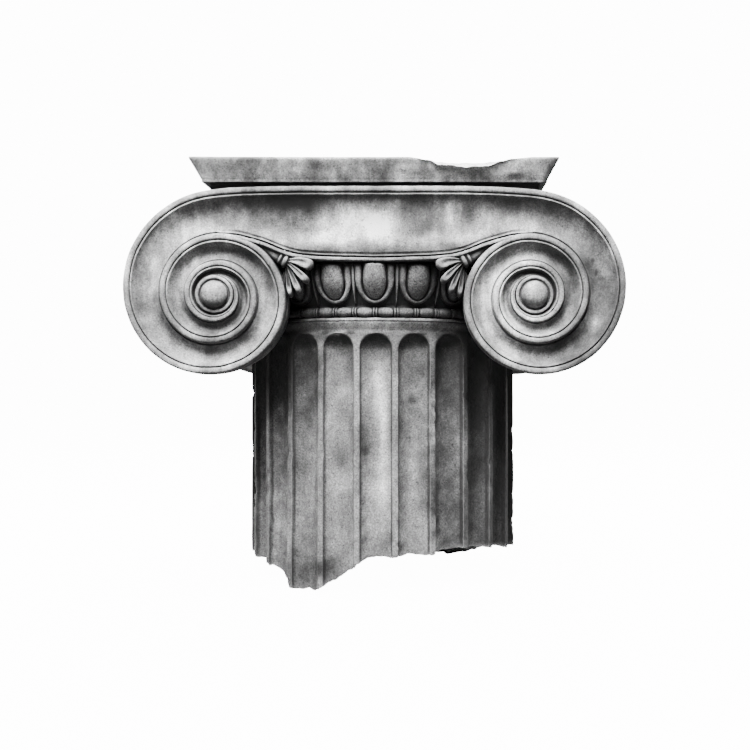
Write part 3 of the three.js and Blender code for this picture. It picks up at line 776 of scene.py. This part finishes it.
def buildShaft(name):
    half = math.pi * radius / shaft["count"] - shaft["fillet"] / 2
    spring = shaft["crown"] - half
    shares = np.sin(np.linspace(-1, 1, 21) * math.pi / 2)
    between = np.linspace(0, 1, 7)[1:-1]

    def column(w):
        narrow = math.sqrt(max(0, 1 - w * w))
        angles, depths, edge = [], [], []
        for k in range(shaft["count"]):
            middle = 2 * math.pi * k / shaft["count"]
            reach = narrow * half / radius
            angles += list(middle + shares * reach)
            depths += list(shaft["flute"] * narrow * np.sqrt(np.maximum(0, 1 - shares ** 2)))
            edge += list(np.abs(shares) ** 6)
            gap = 2 * math.pi / shaft["count"] - 2 * reach
            angles += list(middle + reach + between * gap)
            depths += [0.0] * len(between)
            edge += [1.0] * len(between)
        return np.array(angles), np.array(depths), np.array(edge)

    def surface(angles, depths, heights):
        flare = shaft["flare"] * ease((heights - (joint - shaft["flareHeight"])) / shaft["flareHeight"])
        return aroundAxis(radius + shaft["taper"] * (1 - heights / joint) + flare - depths, angles, heights)

    angles, depths, edge = column(0)
    rimPlaces = surface(angles, depths, np.zeros_like(angles))
    rim = roundValues(breakRim, angles)
    rim = rim + roughNoise(rimPlaces, 26, 21) * 2.6 + fieldNoise(rimPlaces, 8, 24) * 1.6
    rim = rim + fieldNoise(rimPlaces, 4, 25) * 1.3
    rim = np.where(roundValues(breakRim, angles) < 0.5, 0, np.maximum(rim, 0))
    rows, freshness = [], []
    for v in np.linspace(0, 1, 64) ** 1.5:
        heights = mix(rim, spring, v)
        row = surface(angles, depths, heights)
        rubbed = np.exp(-(heights - rim) / 4.5) * (1.8 + 1.6 * fieldNoise(row, 13, 26))
        worn = edge * np.maximum(0, roughNoise(row, 30, 27) - 0.42) * 7
        turned = np.stack([row[:, 0], row[:, 1]], -1)
        turned = turned * (1 - (rubbed + worn) / np.hypot(row[:, 0], row[:, 1]))[:, None]
        rows.append(np.concatenate([turned, row[:, 2:]], 1))
        freshness.append(np.clip(np.exp(-(heights - rim) / 3.0) * 0.9, 0, 1))
    for a in np.linspace(0, math.pi / 2, 17)[1:]:
        arch = column(math.sin(a))
        row = surface(arch[0], arch[1], np.full(len(angles), spring + math.sin(a) * half))
        rows.append(row)
        freshness.append(np.zeros(len(angles)))
    plain = column(1)[0]
    for z in list(np.linspace(shaft["crown"] + 0.5, joint - 1, 12)) + [joint]:
        eased = np.full(len(angles), 0.0 if z < joint else 0.8)
        rows.append(surface(plain, eased, np.full(len(angles), z)))
        freshness.append(np.zeros(len(angles)))
    # The broken underside: hollow in the middle, level where it bears on the ground.
    bearing = roundValues(bearings, angles)
    rimRadius = np.hypot(rows[0][:, 0], rows[0][:, 1])
    under = []
    for share in np.linspace(0, 1, 34)[:-1]:
        free = mix(rim, shaft["vault"], np.interp(share, vaultPlaces, vaultRise))
        inner = np.interp(share, [vaultPlaces[1], vaultPlaces[2]], [0, 1])
        outer = np.interp(share, [vaultPlaces[3], 1], [1, 0])
        clear = 1 - bearing * inner * np.where(rim > 0, outer, 1)
        row = aroundAxis(rimRadius * share, angles, free * clear)
        rough = roughNoise(row, 46, 51, 4) * 9 * min(1, 6 * (1 - share)) * min(1, 4 * share)
        row[:, 2] = np.where(clear < 0.02, 0, np.maximum(0, row[:, 2] + rough * clear))
        under.append(row)
    freshness = [np.ones(len(angles))] * len(under) + freshness
    grid = np.stack(under + rows)
    faces = gridFaces(grid.shape[0], grid.shape[1], closeCols=True)
    points = grid.reshape(-1, 3)
    level = points[:, 2] <= 1e-6
    fresh = np.concatenate(freshness)
    settled = weathered(points)
    settled[:, 2] = np.where(level, 0, np.clip(settled[:, 2], 0, joint))
    return makeMesh(name, settled, faces, amount=0, fresh=fresh)


# Materials
def mathNode(tree, operation, a, b=None, c=None, clamp=False):
    node = tree.nodes.new("ShaderNodeMath")
    node.operation = operation
    node.use_clamp = clamp
    for slot, value in enumerate((a, b, c)):
        if value is None:
            continue
        if isinstance(value, (int, float)):
            node.inputs[slot].default_value = value
        else:
            tree.links.new(value, node.inputs[slot])
    return node.outputs[0]


def noiseNode(tree, vector, scale, detail=4, roughness=0.6):
    node = tree.nodes.new("ShaderNodeTexNoise")
    node.inputs["Scale"].default_value = scale
    node.inputs["Detail"].default_value = detail
    node.inputs["Roughness"].default_value = roughness
    tree.links.new(vector, node.inputs["Vector"])
    return node.outputs[0]


def rangeNode(tree, value, low, high, toLow=0.0, toHigh=1.0):
    node = tree.nodes.new("ShaderNodeMapRange")
    node.interpolation_type = "SMOOTHSTEP"
    for label, number in (("From Min", low), ("From Max", high), ("To Min", toLow), ("To Max", toHigh)):
        node.inputs[label].default_value = number
    tree.links.new(value, node.inputs["Value"])
    return node.outputs[0]


def blendNode(tree, factor, a, b):
    node = tree.nodes.new("ShaderNodeMix")
    node.data_type = "FLOAT"
    for slot, value in ((0, factor), (2, a), (3, b)):
        if isinstance(value, (int, float)):
            node.inputs[slot].default_value = value
        else:
            tree.links.new(value, node.inputs[slot])
    return node.outputs[0]


def scaledVector(tree, vector, scale):
    node = tree.nodes.new("ShaderNodeMapping")
    node.inputs["Scale"].default_value = scale
    tree.links.new(vector, node.inputs["Vector"])
    return node.outputs[0]


# Weathered stone: tone, roughness and height, from place and from what the mesh knows of itself. Its tone carries
# painted shade in hollows and where the sky is shut out, a painted highlight on edges, and the stain marks with
# their painted shade and light.
def stoneGroup():
    tree = bpy.data.node_groups.new("weatheredStone", "ShaderNodeTree")
    face = tree.interface
    for label, value in (("Tone", 0.4), ("Mottle", 1.0), ("Soot", 0.85), ("Shelter", 1.0), ("Pale", 0.35),
                         ("Grain", 1.0), ("Pitting", 0.4)):
        socket = face.new_socket(label, in_out="INPUT", socket_type="NodeSocketFloat")
        socket.default_value = value
    face.new_socket("Vector", in_out="INPUT", socket_type="NodeSocketVector")
    for label in ("CavityShade", "Edge", "Fresh", "SkyLitAndWashed", "StainAndShade"):
        face.new_socket(label, in_out="INPUT", socket_type="NodeSocketFloat")
    for label in ("Tone", "Roughness", "Height"):
        face.new_socket(label, in_out="OUTPUT", socket_type="NodeSocketFloat")
    given, out = tree.nodes.new("NodeGroupInput"), tree.nodes.new("NodeGroupOutput")

    def times(a, b):
        return mathNode(tree, "MULTIPLY", a, b)

    def plus(a, b):
        return mathNode(tree, "ADD", a, b)

    def off(a, middle):
        return mathNode(tree, "SUBTRACT", a, middle)

    def less(amount):
        return mathNode(tree, "SUBTRACT", 1, amount)

    place = given.outputs["Vector"]
    cloud = noiseNode(tree, place, 7.5, 5, 0.6)
    patch = noiseNode(tree, scaledVector(tree, place, (1, 1, 0.6)), 26, 6, 0.62)
    streak = noiseNode(tree, scaledVector(tree, place, (1, 1, 0.1)), 42, 4, 0.6)
    grain = noiseNode(tree, place, 300, 5, 0.75)
    speck = noiseNode(tree, place, 170, 3, 0.6)
    pit = tree.nodes.new("ShaderNodeTexVoronoi")
    pit.inputs["Scale"].default_value = 210
    tree.links.new(place, pit.inputs["Vector"])
    hole = rangeNode(tree, pit.outputs["Distance"], 0.12, 0.36, 1, 0)
    few = rangeNode(tree, noiseNode(tree, place, 55, 2, 0.5), 0.42, 0.6)
    hole = times(times(hole, few), given.outputs["Pitting"])
    # The stone's own cloudiness, as powers of e so that pale and dark patches are alike in strength.
    swing = plus(times(off(cloud, 0.5), 4.2), times(off(patch, 0.5), 2.4))
    swing = plus(swing, times(off(streak, 0.5), 1.5))
    swing = times(swing, given.outputs["Mottle"])
    # The stain marks, with their painted shade and light, darken or pale the cloudiness.
    swing = mathNode(tree, "SUBTRACT", swing, times(given.outputs["StainAndShade"], 1.5))
    coarse = times(times(off(grain, 0.5), 3.4), given.outputs["Grain"])
    tone = times(given.outputs["Tone"], mathNode(tree, "EXPONENT", plus(swing, coarse)))
    tone = times(tone, less(rangeNode(tree, speck, 0.6, 0.7, 0, 0.6)))
    tone = times(tone, less(times(hole, 0.8)))
    # Painted highlight: convex edges and crests are made paler.
    rim = times(rangeNode(tree, given.outputs["Edge"], 0.08, 0.5), given.outputs["Pale"])
    tone = plus(tone, times(rim, 0.55))
    uneven = times(off(patch, 0.5), 0.35)
    # Painted shade in hollows and creases, from how shut in each point is, with grime there too.
    shadeAndDirt = times(rangeNode(tree, plus(given.outputs["CavityShade"], uneven), 0.22, 0.8), given.outputs["Soot"])
    tone = times(tone, less(shadeAndDirt))
    # Painted sky shade: parts turned down or shut from the sky above are darkened, as a crust grows where rain
    # never reaches; the open parts stay pale.
    skyShadeAndCrust = rangeNode(tree, plus(given.outputs["SkyLitAndWashed"], uneven), 0.05, 0.85, 0.9, 0)
    tone = times(tone, less(times(skyShadeAndCrust, given.outputs["Shelter"])))
    broken = plus(0.4, times(coarse, 0.4))
    tone = blendNode(tree, times(given.outputs["Fresh"], 0.7), tone, broken)
    tone = mathNode(tree, "MINIMUM", mathNode(tree, "MAXIMUM", tone, 0.01), 0.88)
    rough = mathNode(tree, "ADD", 0.56, times(patch, 0.3), clamp=True)
    height = plus(times(grain, 0.6), times(speck, 0.4))
    height = plus(mathNode(tree, "SUBTRACT", height, hole), times(patch, 0.8))
    tree.links.new(tone, out.inputs["Tone"])
    tree.links.new(rough, out.inputs["Roughness"])
    tree.links.new(height, out.inputs["Height"])
    return tree


def stoneMaterial(name, group, bump, **values):
    material = bpy.data.materials.new(name)
    material.use_nodes = True
    tree = material.node_tree
    shader = tree.nodes["Principled BSDF"]
    shader.inputs["Specular IOR Level"].default_value = 0.35
    stone = tree.nodes.new("ShaderNodeGroup")
    stone.node_tree = group
    for label, value in values.items():
        stone.inputs[label].default_value = value
    coordinates = tree.nodes.new("ShaderNodeTexCoord")
    tree.links.new(coordinates.outputs["Object"], stone.inputs["Vector"])
    for label in ("CavityShade", "Edge", "Fresh", "SkyLitAndWashed", "StainAndShade"):
        known = tree.nodes.new("ShaderNodeAttribute")
        known.attribute_name = label.lower()
        tree.links.new(known.outputs["Fac"], stone.inputs[label])
    raised = tree.nodes.new("ShaderNodeBump")
    raised.inputs["Strength"].default_value = bump
    raised.inputs["Distance"].default_value = 0.0022
    tree.links.new(stone.outputs["Height"], raised.inputs["Height"])
    tree.links.new(stone.outputs["Tone"], shader.inputs["Base Color"])
    tree.links.new(stone.outputs["Roughness"], shader.inputs["Roughness"])
    tree.links.new(raised.outputs["Normal"], shader.inputs["Normal"])
    return material


# How far the stone looks round itself, in metres, and with how many rays from each point.
nearby = {"reach": 0.07, "rays": 10, "start": 0.0008, "turn": 2.39996, "skyReach": 0.4, "seed": 7}
# Rings of ways towards the sky: how steep, how many, and the share of a step that they are turned by.
skyRings = [(0.5, 6, 0), (0.9, 6, 0.5), (1.25, 3, 0)]


# How much of the space in front of each point is shut in by stone; the material paints shade in hollows from it.
def shutIn(tree, places, normals, spin):
    rays, reach = nearby["rays"], nearby["reach"]
    k = np.arange(rays)
    lift = np.sqrt(1 - (k + 0.5) / rays)
    flat = np.sqrt(1 - lift ** 2)
    turn = k * nearby["turn"]
    helper = np.where(np.abs(normals[:, 2:]) < 0.9, [[0.0, 0.0, 1.0]], [[1.0, 0.0, 0.0]])
    side = np.cross(normals, helper)
    side /= np.maximum(np.linalg.norm(side, axis=1, keepdims=True), 1e-9)
    other = np.cross(normals, side)
    shut = np.zeros(len(places))
    starts = (places + normals * nearby["start"]).tolist()
    for ray in range(rays):
        c, s = np.cos(turn[ray] + spin)[:, None], np.sin(turn[ray] + spin)[:, None]
        ways = (normals * lift[ray] + (side * c + other * s) * flat[ray]).tolist()
        hits = [tree.ray_cast(start, way, reach)[3] for start, way in zip(starts, ways)]
        shut += np.array([0.0 if hit is None else 1 - hit / reach for hit in hits])
    return 1.6 * shut / rays


# Sky light and rain come from above: what is left of them, against an open upright face. The material paints
# shade where little is left, with a crust there.
def openToSkyAndRain(tree, places, normals, spin):
    sky = [(rise, 2 * math.pi * (k + shift) / ways) for rise, ways, shift in skyRings for k in range(ways)]
    starts = (places + normals * nearby["start"]).tolist()
    skylitandwashed = np.zeros(len(places))
    for rise, turned in sky:
        around = turned + 0.35 * spin / np.pi
        way = np.stack([math.cos(rise) * np.cos(around), math.cos(rise) * np.sin(around),
                        np.full(len(places), math.sin(rise))], -1)
        facing = np.maximum((normals * way).sum(1), 0)
        turnedUp = np.flatnonzero(facing > 0.02).tolist()
        hits = [tree.ray_cast(starts[at], there, nearby["skyReach"])[3]
                for at, there in zip(turnedUp, way[turnedUp].tolist())]
        skylitandwashed[turnedUp] += facing[turnedUp] * np.array([hit is None for hit in hits])
    upright = sum(math.cos(rise) / math.pi for rise, _ in sky)
    return np.clip(skylitandwashed / upright, 0, 1.6)


# How shut in, how sharp and how open to sky and rain each point is, kept as attributes of the mesh, from which
# the material paints shade and highlights.
def readSurroundings(objects):
    allPoints, allFaces, count, each = [], [], 0, []
    for piece in objects:
        mesh = piece.data
        places = meshRows(mesh.vertices, "co", 3)
        normals = meshRows(mesh.vertex_normals, "vector", 3)
        each.append((piece, places, normals, meshRows(mesh.edges, "vertices", 2, int)))
        mesh.calc_loop_triangles()
        allPoints.append(places)
        allFaces.append(meshRows(mesh.loop_triangles, "vertices", 3, int) + count)
        count += len(places)
    corners, triangles = np.concatenate(allPoints).tolist(), np.concatenate(allFaces).tolist()
    tree = BVHTree.FromPolygons(corners, triangles, all_triangles=True)
    chance = np.random.default_rng(nearby["seed"])
    for piece, places, normals, edges in each:
        a, b = edges[:, 0], edges[:, 1]
        total = np.maximum(np.bincount(edges.ravel(), minlength=len(places)), 1)

        def neighbours(atA, atB):
            return (np.bincount(a, atA, len(places)) + np.bincount(b, atB, len(places))) / total

        def smoothed(values, times):
            for _ in range(times):
                values = 0.4 * values + 0.6 * neighbours(values[b], values[a])
            return values

        spin = chance.uniform(0, 2 * np.pi, len(places))
        gap = places[b] - places[a]
        length = np.maximum(np.linalg.norm(gap, axis=1), 1e-7)
        convex = neighbours(-(normals[a] * gap).sum(1) / length, (normals[b] * gap).sum(1) / length)
        convex = 0.5 * convex + 0.5 * neighbours(convex[b], convex[a])
        keepValues(piece.data, "cavityshade", smoothed(shutIn(tree, places, normals, spin), 2))
        keepValues(piece.data, "edge", np.maximum(convex, 0))
        keepValues(piece.data, "skylitandwashed", smoothed(openToSkyAndRain(tree, places, normals, spin), 3))
        print("surroundings of", piece.name)


# Stains seen on the front, with painted shade and painted light among them: x, z, half width, half height, and
# how dark (below 0 is paler).
stainsAndShade = {
    # The face: painted shade along the foot of the canalis ridge and over the right volute, among real stains and
    # pale patches.
    "face": [
        (-190, 788, 76, 20, 1.25), (-128, 778, 34, 24, 0.65), (-240, 750, 64, 26, 0.6), (-158, 745, 34, 26, 0.5),
        (-62, 748, 62, 30, -1.0), (10, 756, 42, 30, -0.8), (-30, 722, 110, 14, -0.45), (-120, 716, 36, 12, -0.35),
        (66, 776, 26, 24, 0.6), (104, 744, 34, 16, 0.9), (84, 728, 22, 10, 0.4), (146, 772, 15, 30, -0.35),
        (188, 770, 20, 24, 0.75), (232, 752, 32, 22, -0.35), (176, 718, 50, 12, -0.35), (-20, 802, 150, 9, 0.6),
        (-118, 692, 46, 4, 1.0), (36, 691, 60, 3, 0.6), (150, 700, 44, 4, 0.9), (250, 800, 60, 12, 0.3),
        (434, 672, 4, 4, 1.6), (440, 651, 4, 5, 2), (449, 641, 6, 4, 2), (428, 640, 10, 40, 0.5),
        (422, 664, 12, 9, 0.6), (470, 560, 34, 130, 0.95), (400, 640, 60, 110, 0.4), (380, 482, 80, 14, 0.5),
        (-366, 622, 24, 60, 0.55), (-300, 668, 40, 16, 0.4), (286, 628, 16, 40, 0.35), (-470, 560, 30, 70, 0.3),
        (319, 612, 27, 27, 0.35), (-319, 612, 22, 22, 0.12), (-20, 700, 160, 10, 0.15),
        (-468, 640, 18, 70, 0.4), (-300, 520, 60, 10, 0.4), (-420, 690, 30, 34, 0.3), (-250, 640, 26, 34, 0.3),
        (-368, 560, 26, 34, -0.3), (262, 560, 26, 44, -0.25), (330, 690, 40, 20, -0.2), (340, 488, 26, 8, -0.4),
    ],
    "slab": [
        # The abacus: a paler front, and painted shadow on its right end.
        (0, 852, 900, 80, -0.6), (-300, 866, 46, 8, -0.3), (-120, 858, 70, 6, 0.3), (60, 846, 90, 6, 0.25),
        (352, 845, 10, 15, 2.4), (343, 828, 9, 9, 2.4), (278, 840, 15, 5, 1.3), (200, 838, 110, 7, 0.3),
    ],
    "palmette": [
        # The palmettes: stems painted paler to lift the shade they sit in, and painted shade on the lower leaves.
        (-226, 702, 34, 16, -0.9), (226, 702, 34, 16, -0.9), (-170, 690, 16, 14, -0.4), (170, 690, 16, 14, -0.4),
        (-186, 640, 24, 22, 0.5), (186, 640, 24, 22, 0.5),
    ],
    "shaft": [
        # The shaft: painted light on the neck under the beads, painted shade down its right side and, less, its
        # left, among real stains and specks.
        (0, 547, 190, 13, -0.8), (-107, 534, 3.5, 3, 2.6), (-50, 533, 3, 2.6, 2.4), (96, 532, 5, 3.5, 2.4),
        (84, 527, 3, 2.5, 2.2), (-88, 529, 12, 2.5, -1), (-78, 531, 5, 2.5, -1), (4, 430, 12, 46, -0.6),
        (16, 350, 10, 80, -0.7), (-22, 300, 12, 70, 0.5), (14, 220, 10, 80, -0.4), (72, 398, 8, 6, 1.1),
        (-22, 292, 7, 7, 1.1), (-14, 262, 3, 3, -0.9), (-190, 402, 3, 3, -0.9), (-152, 34, 26, 44, 0.8),
        (-104, 56, 26, 20, 0.8), (118, 200, 10, 70, 0.5), (-100, 340, 12, 90, -0.3), (76, 260, 12, 90, -0.35),
        (288, 250, 150, 500, 1.7), (-280, 300, 130, 500, 0.5), (0, 470, 200, 50, 0.2),
        (-165, 330, 40, 260, 0.6), (0, 546, 190, 6, -0.8), (0, 556, 190, 6, 0.4), (0, 530, 190, 9, 0.4),
        (72, 300, 40, 300, 0.15),
    ],
}


# The abacus's level top is painted darker, a painted shade against the light it catches from above, with dust
# lying there too.
def topDustAndShade(places):
    return 0.55 * ease((places[:, 2] - abacus["top"] + 3) / 2)


# A fine dark line is painted beside each fillet of the flutes: painted shade in the crease where flute and fillet
# meet.
def filletCreaseShade(places):
    step = 2 * math.pi / shaft["count"]
    angle = np.arctan2(places[:, 0], -places[:, 1])
    fromMiddle = np.abs((angle / step + 0.5) % 1 - 0.5) * step * radius
    beside = fromMiddle / (step * radius / 2 - shaft["fillet"] / 2)
    return 1.1 * np.exp(-((beside - 0.965) / 0.028) ** 2) * ease((shaft["crown"] - places[:, 2]) / 60)


# The marks fade out behind the depth given, over the length given.
def markStainsAndShade(piece, marks, shadeAndDirt=None, behind=100, fadeRun=120):
    places = meshRows(piece.data.vertices, "co", 3) / toMetres
    total = np.zeros(len(places))
    ragged = 0.55 * roughNoise(places, 24, 61)
    front = ease((behind - places[:, 1]) / fadeRun)
    for x, z, wideHalf, tallHalf, dark in marks:
        away = ((places[:, 0] - x) / wideHalf) ** 2 + ((places[:, 2] - z) / tallHalf) ** 2
        total += dark * np.exp(-away * (1 + ragged)) * front
    if shadeAndDirt is not None:
        total += shadeAndDirt(places)
    keepValues(piece.data, "stainandshade", total)


group = stoneGroup()
capitalStone = stoneMaterial("capitalStone", group, 0.75, Tone=0.245, Mottle=1.25, Soot=0.95, Shelter=0.9,
                             Pale=0.5, Grain=1.0, Pitting=0.4)
eggStone = stoneMaterial("eggStone", group, 1.0, Tone=0.18, Mottle=0.7, Soot=0.9, Shelter=0.7,
                         Pale=0.25, Grain=1.4, Pitting=1.0)
beadStone = stoneMaterial("beadStone", group, 0.9, Tone=0.062, Mottle=0.9, Soot=0.95, Shelter=0.8,
                          Pale=0.25, Grain=1.2, Pitting=0.8)
shaftStone = stoneMaterial("shaftStone", group, 0.75, Tone=0.2, Mottle=0.8, Soot=0.95, Shelter=0.97,
                           Pale=0.45, Grain=1.15, Pitting=0.6)

faces = [buildFace("frontFace", 1), buildFace("backFace", -1)]
bolsters = [buildBolster("rightBolster", 1), buildBolster("leftBolster", -1)]
slab = buildAbacus("abacus")
core = buildBlock("block")
ground = buildGround("echinus")
pitch = 2 * math.pi / echinus["count"]
beadPitch = pitch / echinus["beadsPerEgg"]
# Rows of carving: name, shape, how many, middle, step, stone, unevenness and its seed.
rings = [
    ("eggs", eggParts, 7, 0, pitch, eggStone, 0.003, 4),
    ("backEggs", eggParts, 7, math.pi, pitch, eggStone, 0.003, 8),
    ("shells", shellParts, 7, 0, pitch, capitalStone, 0.003, 4),
    ("darts", dartParts, 6, 0, pitch, capitalStone, 0.004, 5),
    ("beads", beadParts, 12, 0, beadPitch, beadStone, 0.003, 6),
    ("reels", reelParts, 13, 0, beadPitch, beadStone, 0.002, 7),
]
for name, shape, *row in rings:
    ringPiece(name, shape(), *row)
palmettes = [buildPalmette("rightPalmette", 1), buildPalmette("leftPalmette", -1)]
drum = buildShaft("flutedShaft")

for piece in [*faces, *bolsters, slab, core, ground, *palmettes]:
    piece.data.materials.append(capitalStone)
drum.data.materials.append(shaftStone)
readSurroundings(pieces)
# Stains with painted shade and light, kept as one attribute of each piece.
markStainsAndShade(faces[0], stainsAndShade["face"])
markStainsAndShade(slab, stainsAndShade["slab"], topDustAndShade, behind=-290, fadeRun=60)
for piece in palmettes:
    markStainsAndShade(piece, stainsAndShade["palmette"])
markStainsAndShade(drum, stainsAndShade["shaft"], filletCreaseShade)

for piece in pieces:
    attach(piece, "root")
    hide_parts("shaft" if piece is drum else "capital")

# Floor, light and camera
floorMesh = bpy.data.meshes.new("floor")
floorHalf = 30
floorCorners = [(x * floorHalf, y * floorHalf, 0) for x, y in ((-1, -1), (1, -1), (1, 1), (-1, 1))]
floorMesh.from_pydata(floorCorners, [], [[0, 1, 2, 3]])
floor = bpy.data.objects.new("floor", floorMesh)
bpy.context.collection.objects.link(floor)
studio = {
    "floorTone": 0.1, "floorGlow": 14.0, "backdrop": 14.0, "fill": 0.02,
    "key": {"place": (-0.4, -2.3, 3.6), "aim": (0, -0.3, 0.5), "size": (2.2, 2.3), "power": 950},
    "low": {"place": (-1.3, -3.2, 1.2), "aim": (0, -0.2, 0.5), "size": (1.4, 1.4), "power": 14},
    "rear": {"place": (0.6, 2.5, 3.4), "aim": (0, 0.2, 0.5), "size": (2.4, 1.8), "power": 680},
    "left": {"place": (-3.4, 1.1, 2.6), "aim": (0, 0.1, 0.4), "size": (1.6, 1.6), "power": 240},
    "right": {"place": (3.4, 1.1, 2.6), "aim": (0, 0.1, 0.4), "size": (1.6, 1.6), "power": 240},
}


# White to the eye, and only a soft fill as a light.
def seenOnly(tree, seen, felt):
    path = tree.nodes.new("ShaderNodeLightPath")
    choice = tree.nodes.new("ShaderNodeMixShader")
    tree.links.new(path.outputs["Is Camera Ray"], choice.inputs[0])
    tree.links.new(felt, choice.inputs[1])
    tree.links.new(seen, choice.inputs[2])
    return choice.outputs[0]


floorPaint = bpy.data.materials.new("floorPaint")
floorPaint.use_nodes = True
paint = floorPaint.node_tree.nodes["Principled BSDF"]
paint.inputs["Base Color"].default_value = (*[studio["floorTone"]] * 3, 1)
paint.inputs["Roughness"].default_value = 0.9
glowing = floorPaint.node_tree.nodes.new("ShaderNodeEmission")
glowing.inputs["Strength"].default_value = studio["floorGlow"]
lit = floorPaint.node_tree.nodes.new("ShaderNodeAddShader")
floorPaint.node_tree.links.new(paint.outputs[0], lit.inputs[0])
floorPaint.node_tree.links.new(glowing.outputs[0], lit.inputs[1])
chosen = seenOnly(floorPaint.node_tree, lit.outputs[0], paint.outputs[0])
output = floorPaint.node_tree.nodes["Material Output"]
floorPaint.node_tree.links.new(chosen, output.inputs["Surface"])
floorMesh.materials.append(floorPaint)

world = bpy.data.worlds.new("studio")
bpy.context.scene.world = world
world.use_nodes = True
soft = world.node_tree.nodes["Background"]
soft.inputs["Color"].default_value = (1, 1, 1, 1)
soft.inputs["Strength"].default_value = studio["fill"]
bright = world.node_tree.nodes.new("ShaderNodeBackground")
bright.inputs["Color"].default_value = (1, 1, 1, 1)
bright.inputs["Strength"].default_value = studio["backdrop"]
chosen = seenOnly(world.node_tree, bright.outputs[0], soft.outputs[0])
world.node_tree.links.new(chosen, world.node_tree.nodes["World Output"].inputs["Surface"])


def areaLight(name, given):
    lamp = bpy.data.lights.new(name, "AREA")
    lamp.shape = "RECTANGLE"
    lamp.size, lamp.size_y = given["size"]
    lamp.energy = given["power"]
    holder = bpy.data.objects.new(name, lamp)
    holder.location = given["place"]
    towards = Vector(given["aim"]) - Vector(given["place"])
    holder.rotation_euler = towards.to_track_quat("-Z", "Y").to_euler()
    bpy.context.collection.objects.link(holder)


for name in ("key", "low", "rear", "left", "right"):
    areaLight(name, studio[name])

# The photograph is a cut-out, so its vanishing point lies off the middle: hence the shift.
view = {"place": (0.1164, -2.2507, 0.45), "lens": 46.407, "shift": (-0.078, -0.002)}
camera = bpy.data.objects.new("camera", bpy.data.cameras.new("camera"))
camera.location = view["place"]
camera.rotation_euler = (math.radians(90), 0, 0)
camera.data.lens = view["lens"]
camera.data.sensor_width = 36
camera.data.shift_x, camera.data.shift_y = view["shift"]
camera.data.clip_start = 0.05
bpy.context.collection.objects.link(camera)
bpy.context.scene.camera = camera
